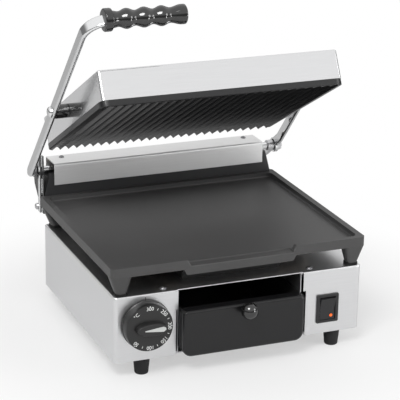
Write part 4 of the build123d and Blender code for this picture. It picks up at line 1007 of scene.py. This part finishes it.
    def index_mark(self) -> None:
        """Dark stroke on the panel over the dial."""
        mark = bar_mesh("index_mark", *self.index_size)
        mark.transform(Matrix.Translation(from_body(self.centre_x, self.index_y, self.index_z)))
        self.bench.add(link("index_mark", mark), "body", "knob_black", "mark_dark")


@dataclass
class Switch:
    """Rocker switch with its lamp."""

    bench: Bench
    edge: float = 0.3

    def make(self) -> None:
        """Dress the switch."""
        self.bench.soften("rocker_housing", self.edge, 2)
        self.bench.soften("rocker_button", self.edge, 2)
        self.bench.keep("rocker_lens")


@dataclass
class CookingPlate:
    """Cast lower plate with its heater, on four legs."""

    bench: Bench
    plate_edge: float = 1.2
    pad_edge: float = 0.3

    def make(self) -> None:
        """Dress the plate."""
        self.bench.soften("lower_plate", self.plate_edge, 3)
        self.bench.soften("leg_pads", self.pad_edge, 2)
        self.bench.keep("leg_bolts", "lower_element", "lower_element_clamps")
        self.bench.keep("element_housing")


@dataclass
class Hinge:
    """Cast hinge block with its bearings, bracket and rear cover."""

    bench: Bench
    cover_top: float = 160.5
    screw_x: float = 112.0
    screw_y: float = 141.0
    screw: Screw = Screw(2.9, 1.9, 2.0, 5.8)
    screw_turns: Pair = (0.4, 1.0)
    bar_x: Pair = (-144.4, -138.4)
    bar_y: Pair = (122.0, 126.5)
    bar_z: Pair = (103.8, 170.3)
    bar_corner: float = 0.7
    groove_half: float = 0.7
    groove_depth: float = 1.9
    hub_radius: float = 12.6
    bore_radius: float = 4.6
    web_foot: tuple[Pair, ...] = ((126.0, 118.0), (130.5, 121.0), (142.4, 133.0))

    def make(self) -> None:
        """Dress the hinge."""
        self.bench.soften("hinge_block", 0.5, 2)
        self.bench.swap("hinge_bracket", self.bracket())
        self.bench.add(self.bracket_eye(), "body", "chrome_arm", "hinge_dark")
        self.bench.soften("rear_cover", 0.25, 2, paint="satin_steel")
        self.bench.keep("hinge_block_bolts", "hinge_bush_left", "hinge_bush_right")
        self.bench.keep("bracket_screw", "lid_spring_left", "lid_spring_right")
        self.cover_screws()

    def bracket(self) -> bpy.types.Mesh:
        """Upright bright bar with a groove down its front."""
        left, right = self.bar_x
        front, back = self.bar_y
        low, high = self.bar_z
        middle, g, r = (left + right) / 2, self.groove_half, self.bar_corner
        lip, floor = front + 0.4, front + self.groove_depth
        outline = [
            (left + r, front), (middle - g - 0.3, front), (middle - g, lip), (middle - g, floor),
            (middle + g, floor), (middle + g, lip), (middle + g + 0.3, front), (right - r, front),
            (right, front + r), (right, back), (left, back), (left, front + r),
        ]
        return skin("bracket_bar", [
            [from_body(middle + (x - middle) * share, y, z) for x, y in outline]
            for z, share in ((low, 0.8), (low + 0.6, 1.0), (high - 0.8, 1.0), (high, 0.75))
        ])

    def bracket_eye(self) -> bpy.types.Object:
        """Dark eye round the shaft with a web down the back of the bar."""
        left, right = self.bar_x
        y, z = SHAFT
        hub, bore = self.hub_radius, self.bore_radius
        under = z - bore - 0.5
        web = [*self.web_foot, (y + hub - 1.6, under), (self.web_foot[0][0], under)]
        arm = skin("eye_web", [[from_body(x, u, v) for u, v in web] for x in (left + 0.8, right)])
        eye = [(left, bore), (left, hub - 0.8), (left + 0.6, hub), (right, hub), (right, bore)]
        whole = fused("bracket_eye", arm, lathe_x("eye_ring", eye, y, z, ring=True))
        settle(whole)
        return link("bracket_eye", whole)

    def cover_screws(self) -> None:
        """Cross-recessed screws that hold the rear cover."""
        points = [from_body(side * self.screw_x, self.screw_y, self.cover_top) for side in (-1, 1)]
        turns = [Vector((0, 0, angle)) for angle in self.screw_turns]
        screws = Repeat("rear_cover_screw_set", self.screw.mesh("cover_screw"), points, turns)
        piece = screws.build(self.bench.material("screw_dull"))
        self.bench.add(piece, "body", "screw_steel", "screw_dull")
        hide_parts("rear_cover_screws")


@dataclass
class Arms:
    """Lever with its grip, right arm, shaft and lid pivots."""

    bench: Bench
    angle: float = 47.35
    reach: float = 296.0
    middle_x: float = -150.5
    thickness: float = 5.0
    width: float = 12.8
    bend_radius: float = 24.0
    section_radius: float = 2.35
    arm_x: float = 149.5
    arm_share: float = 0.94
    arm_bend: Pair = (71.4, -80.2)
    arm_radius: float = 35.0
    arm_steps: int = 12
    arm_eye: tuple[Pair, ...] = ((-2.5, 7.9), (-1.9, 8.5), (1.9, 8.5), (2.5, 7.9))
    end_shares: tuple[float, ...] = (0.94, 0.7, 0.35, 0.15)
    tail: Pair = (22.6, -13.3)
    grip_collar: tuple[Pair, ...] = (
        (-134.0, 6.0), (-134.0, 10.6), (-133.6, 11.3), (-132.8, 11.75),
        (-127.2, 11.75), (-126.3, 11.4), (-125.7, 10.4),
    )
    grip_knots: tuple[Pair, ...] = (
        (-125.2, 8.9), (-118.4, 7.8), (-109.6, 10.5), (-100.6, 7.8), (-91.1, 10.5), (-81.6, 7.8),
        (-72.5, 10.5), (-63.4, 7.8), (-51.5, 10.25),
    )
    grip_end: tuple[Pair, ...] = ((-48.6, 10.25), (-47.6, 9.9), (-47.0, 9.0), (-47.0, 2.0))

    def make(self) -> None:
        """Dress the arms."""
        self.bench.swap("lever_bar", self.lever())
        self.bench.swap("lever_grip", self.grip())
        self.bench.swap("right_arm", self.right_arm())
        for node in ("hinge_shaft", "shaft_washers", "arm_nuts"):
            self.bench.soften(node)
        for node in ("bolt_left", "bolt_right", "spacer_left", "spacer_right"):
            self.bench.soften("pivot_" + node)

    def _directions(self) -> tuple[Vector, Vector]:
        """Unit vectors along the lever and across its flat."""
        turn = math.radians(self.angle)
        along = Vector((0, -math.cos(turn), math.sin(turn)))
        return along, Vector((0, math.sin(turn), math.cos(turn)))

    def _section(
        self, place: Vector, across: Vector, normal: Vector, share: float = 1.0
    ) -> list[Vector]:
        """Rounded section of the bar, its width multiplied by a share."""
        half = self.width / 2 * share
        radius = min(self.section_radius, half * 0.9)
        outline = rounded_loop(half, self.thickness / 2, [radius] * 4, 5)
        return [(place + across * u + normal * v) * MM - ORIGIN_SHIFT for u, v in outline]

    def lever(self) -> bpy.types.Mesh:
        """Flat bar, round at its foot and bent into the grip at its top."""
        foot_steps, bar_steps, bend_steps = 8, 12, 15
        along, across = self._directions()
        start = Vector((self.middle_x, *SHAFT))
        side = Vector((1, 0, 0))
        half = self.width / 2
        loops = []
        for k in range(foot_steps + 1):
            back = half * math.cos(math.radians(90 * k / foot_steps + 4))
            share = max(0.12, math.sqrt(max(0.0, 1 - (back / half) ** 2)))
            loops.append(self._section(start - along * max(0.0, back), across, side, share))
        straight = self.reach - self.bend_radius
        for k in range(1, bar_steps + 1):
            loops.append(self._section(start + along * straight * k / bar_steps, across, side))
        corner = start + along * straight + side * self.bend_radius
        for k in range(1, bend_steps):
            turn = math.radians(90 * k / bend_steps)
            sin, cos = math.sin(turn), math.cos(turn)
            place = corner + along * self.bend_radius * sin - side * self.bend_radius * cos
            loops.append(self._section(place, across, side * cos - along * sin))
        return skin("lever_bent", loops)

    def right_arm(self) -> bpy.types.Mesh:
        """Flat arm with a curve near its tail and an eye on the shaft."""
        pivot, tail = Vector(LID_PIVOT), Vector(SHAFT) + Vector(self.tail)
        bend = pivot + Vector(self.arm_bend)
        first, second = (bend - pivot).normalized(), (tail - bend).normalized()
        reach = self.arm_radius * math.tan(first.angle(second) / 2)
        one, two = bend - first * reach, bend + second * reach
        path = [pivot + first * t for t in (-6.0, -5.9, -5.2, -3.6, 0.0, 20.0, 40.0, 60.0)]
        for k in range(self.arm_steps + 1):
            share = k / self.arm_steps
            path.append(one * (1 - share) ** 2 + bend * 2 * share * (1 - share) + two * share**2)
        path += [tail + second * t for t in (-4.0, 0.0, 3.6, 5.2, 5.9, 6.0)]
        ends = list(self.end_shares)
        shares = ends[::-1] + [1.0] * (len(path) - 2 * len(ends)) + ends
        loops = []
        for k, (point, share) in enumerate(zip(path, shares)):
            ahead = path[min(k + 1, len(path) - 1)] - path[max(k - 1, 0)]
            across = Vector((0, -ahead.y, ahead.x)).normalized()
            place = Vector((self.arm_x, point.x, point.y))
            width = share * self.arm_share
            loops.append(self._section(place, across, Vector((1, 0, 0)), width))
        eye = [(self.arm_x + x, radius) for x, radius in self.arm_eye]
        turned = lathe_x("arm_eye", eye, *SHAFT)
        return fused("right_arm_bent", skin("arm_swept", loops), turned)

    def grip(self) -> bpy.types.Mesh:
        """Turned grip with a collar, three swells and a flared end."""
        along, _ = self._directions()
        axis = Vector((0, *SHAFT)) + along * self.reach
        profile = [*self.grip_collar, *eased(self.grip_knots), *self.grip_end]
        return lathe_x("grip_turned", profile, axis.y, axis.z)


@dataclass
class Lid:
    """Polished lid cover over the ribbed plate and its heater."""

    bench: Bench
    tilt: float = -28.9
    half_width: float = 135.5
    front: float = -118.4
    rear: float = 93.0
    top: float = -17.5
    bottom: float = -24.5
    corner: float = 8.5
    edge: float = 1.0
    groove_count: int = 27
    groove_pitch: float = 9.65
    groove_radius: float = 4.6
    groove_depth: float = 4.0
    groove_steps: int = 12
    run_out: float = 6.5

    def make(self) -> None:
        """Dress the lid."""
        self.bench.soften("lid_cover", 0.25, 2)
        self.bench.swap("lid_plate", self.plate(), 50.0)
        self.bench.keep("lid_element", "lid_element_clamps", "lid_insulation")
        self.bench.keep("lid_bracket_left", "lid_bracket_right", "lid_screws", "lid_cable_gland")

    def _place(self, x: float, y: float, z: float) -> Vector:
        """Point of the lid's own frame, about its pivot."""
        turn = math.radians(self.tilt)
        cos, sin = math.cos(turn), math.sin(turn)
        return from_body(x, LID_PIVOT[0] + y * cos - z * sin, LID_PIVOT[1] + y * sin + z * cos)

    def _half_at(self, y: float) -> float:
        """Half width of the plate at a depth, less at its rounded corners."""
        into = min(y - self.front, self.rear - y)
        if into >= self.corner:
            return self.half_width
        round_part = math.sqrt(max(0.0, self.corner**2 - (self.corner - into) ** 2))
        return self.half_width - self.corner + round_part

    def _groove(self, x: float, y: float) -> float:
        """Depth of the grooves at a point: round ones that run out at the front."""
        most = self.groove_count // 2
        nearest = max(-most, min(most, round(x / self.groove_pitch)))
        off = abs(x - nearest * self.groove_pitch)
        if off >= self.groove_radius:
            return 0.0
        rise = max(0.0, 1.0 - max(0.0, y - self.front - self.edge) / self.run_out)
        depth = self.groove_depth * (1.0 - rise**2.2)
        return max(0.0, depth - self.groove_radius + math.sqrt(self.groove_radius**2 - off**2))

    def _rim(self, x: float, y: float) -> float:
        """Rounding of the lower edge at the front and the sides."""
        into = min(y - self.front, self._half_at(y) - abs(x))
        return self.edge * max(0.0, 1.0 - into / self.edge) ** 2

    def plate(self) -> bpy.types.Mesh:
        """Cast plate with its ribs, rounded lower edge and corners."""
        half, count = self.half_width, self.groove_count * self.groove_steps
        span = self.groove_count * self.groove_pitch / 2
        xs = [-span + 2 * span * k / count for k in range(count + 1)]
        xs = [-half, -half + 2.0, *xs, half - 2.0, half]
        front = (0.0, 0.4, 1.2, 2.0, 2.8, 4.0, 5.5, 7.5, 9.5, 12.0, 20.0, 110.0)
        ys = [self.front + d for d in front]
        ys += [self.rear - d for d in (8.5, 5.5, 3.0, 1.2, 0.3, 0.0)]
        work = bmesh.new()
        rows, caps = [], []
        for y in ys:
            half = self._half_at(y)
            row = [max(-half, min(half, x)) for x in xs]
            spots = [(x, self.bottom + self._groove(x, y) + self._rim(x, y)) for x in row]
            rows.append([work.verts.new(self._place(x, y, z)) for x, z in spots])
            caps.append([work.verts.new(self._place(x, y, self.top)) for x in row])
        for sheet in (rows, caps):
            for low, high in zip(sheet, sheet[1:]):
                strip(work, low, high)
        strip(work, rows[0], caps[0])
        strip(work, rows[-1], caps[-1])
        for side in (0, -1):
            strip(work, [row[side] for row in rows], [cap[side] for cap in caps])
        bmesh.ops.remove_doubles(work, verts=work.verts[:], dist=1e-6)
        return to_mesh("ribbed_plate", work)


# Stage.


@dataclass
class Studio:
    """White sweep, soft lights and the camera at the photograph's angle."""

    azimuth: float = 22.492
    elevation: float = 19.348
    roll: float = 1.020
    target: tuple[float, float, float] = (-6.49, -16.0, 148.73)
    distance: float = 1902.8
    lens: float = 159.0
    sky: float = 0.62
    room: tuple[float, float, float, float] = (0.12, 0.42, 0.22, 1.0)
    floor_half: float = 2.6
    floor_fade: tuple[float, float, float, float] = (0.17, 0.40, 0.50, 1.0)
    aim: tuple[float, float, float] = (0.0, 0.0, 0.12)

    def make(self) -> None:
        """Set up the whole stage."""
        self.camera()
        self.floor()
        self.world()
        self.lamps()
        bpy.context.scene.view_settings.view_transform = "Standard"

    def camera(self) -> None:
        """Camera solved from the body's straight edges."""
        a, e, r = (math.radians(v) for v in (self.azimuth, self.elevation, self.roll))
        forward = Vector((math.sin(a) * math.cos(e), math.cos(a) * math.cos(e), -math.sin(e)))
        level = Vector((math.cos(a), -math.sin(a), 0.0))
        above = level.cross(forward)
        right = math.cos(r) * level + math.sin(r) * above
        up = -math.sin(r) * level + math.cos(r) * above
        data = bpy.data.cameras.new("camera")
        data.lens = self.lens
        data.sensor_width = 36.0
        data.clip_end = 100.0
        camera = link("camera", data)
        spot = from_body(*self.target) - forward * self.distance * MM
        basis = Matrix((right, up, -forward)).transposed().to_4x4()
        camera.matrix_world = Matrix.Translation(spot) @ basis
        bpy.context.scene.camera = camera

    def floor(self) -> None:
        """Large white floor that keeps the shadow and fades into the backdrop."""
        half = self.floor_half
        corners = [(-half, -half, 0), (half, -half, 0), (half, half, 0), (-half, half, 0)]
        mesh = bpy.data.meshes.new("floor")
        mesh.from_pydata(corners, [], [(0, 1, 2, 3)])
        floor = link("floor", mesh)
        graph = Graph(bpy.data.materials.new("floor_white"))
        graph.finish(Base_Color=(0.74, 0.74, 0.74), Roughness=0.9)
        spot = {0: graph.place((1.0, 1.0, 1.0))}
        apart = graph.node("ShaderNodeVectorMath", spot, "Value", operation="LENGTH")
        seen = graph.node("ShaderNodeLightPath", output="Is Camera Ray")
        shares = {
            0: seen * graph.rise(apart, self.floor_fade),
            1: Channel(graph, graph.tree.nodes["Principled BSDF"].outputs[0]),
            2: graph.node("ShaderNodeEmission"),
        }
        mix = graph.node("ShaderNodeMixShader", shares)
        graph.feed(graph.tree.nodes["Material Output"].inputs[0], mix)
        floor.data.materials.append(graph.owner)

    def world(self) -> None:
        """White backdrop, plain light on the object, and a dim room in its reflections."""
        world = bpy.data.worlds.new("studio")
        bpy.context.scene.world = world
        graph = Graph(world)
        direction = graph.node("ShaderNodeTexCoord", output="Generated")
        height = graph.node("ShaderNodeSeparateXYZ", {0: direction}, "Z")
        camera, through, glossy = (
            graph.node("ShaderNodeLightPath", output=f"Is {kind} Ray")
            for kind in ("Camera", "Transmission", "Glossy")
        )
        seen = camera.at_least(through)
        mirrored = glossy * graph.rise(height, self.room)
        spread = 1.0 - seen.at_least(glossy)
        background = graph.tree.nodes["Background"].inputs
        graph.feed(background["Strength"], seen + mirrored + spread * self.sky)
        graph.feed(background["Color"], (1.0, 1.0, 1.0))

    def lamps(self) -> None:
        """Three soft lamps: one high at the left, one weak at the right, one low for the ribs."""
        for name, place, size, power in (
            ("key", (-0.9, -1.1, 1.7), 0.8, 27.0),
            ("fill", (1.4, -1.1, 0.8), 0.6, 5.5),
            ("low", (1.1, -1.2, 0.16), 0.25, 3.0),
        ):
            data = bpy.data.lights.new(name, "AREA")
            data.size = size
            data.energy = power
            lamp = link(name, data)
            lamp.location = Vector(place)
            aim = Vector(self.aim) - Vector(place)
            lamp.rotation_euler = aim.to_track_quat("-Z", "Y").to_euler()


def save_sizes() -> None:
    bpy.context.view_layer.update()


def main() -> None:
    """Build the stage and every sub-assembly in order."""
    logging.basicConfig(level=logging.INFO, format="%(name)s: %(message)s")
    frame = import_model()
    Studio().make()
    bench = Bench(frame)
    for builder in (Cabinet, Drawer, Dial, Switch, CookingPlate, Hinge, Arms, Lid):
        builder(bench).make()
        LOG.info("%s done", builder.__name__)
    save_sizes()


if __name__ == "__main__":
    main()
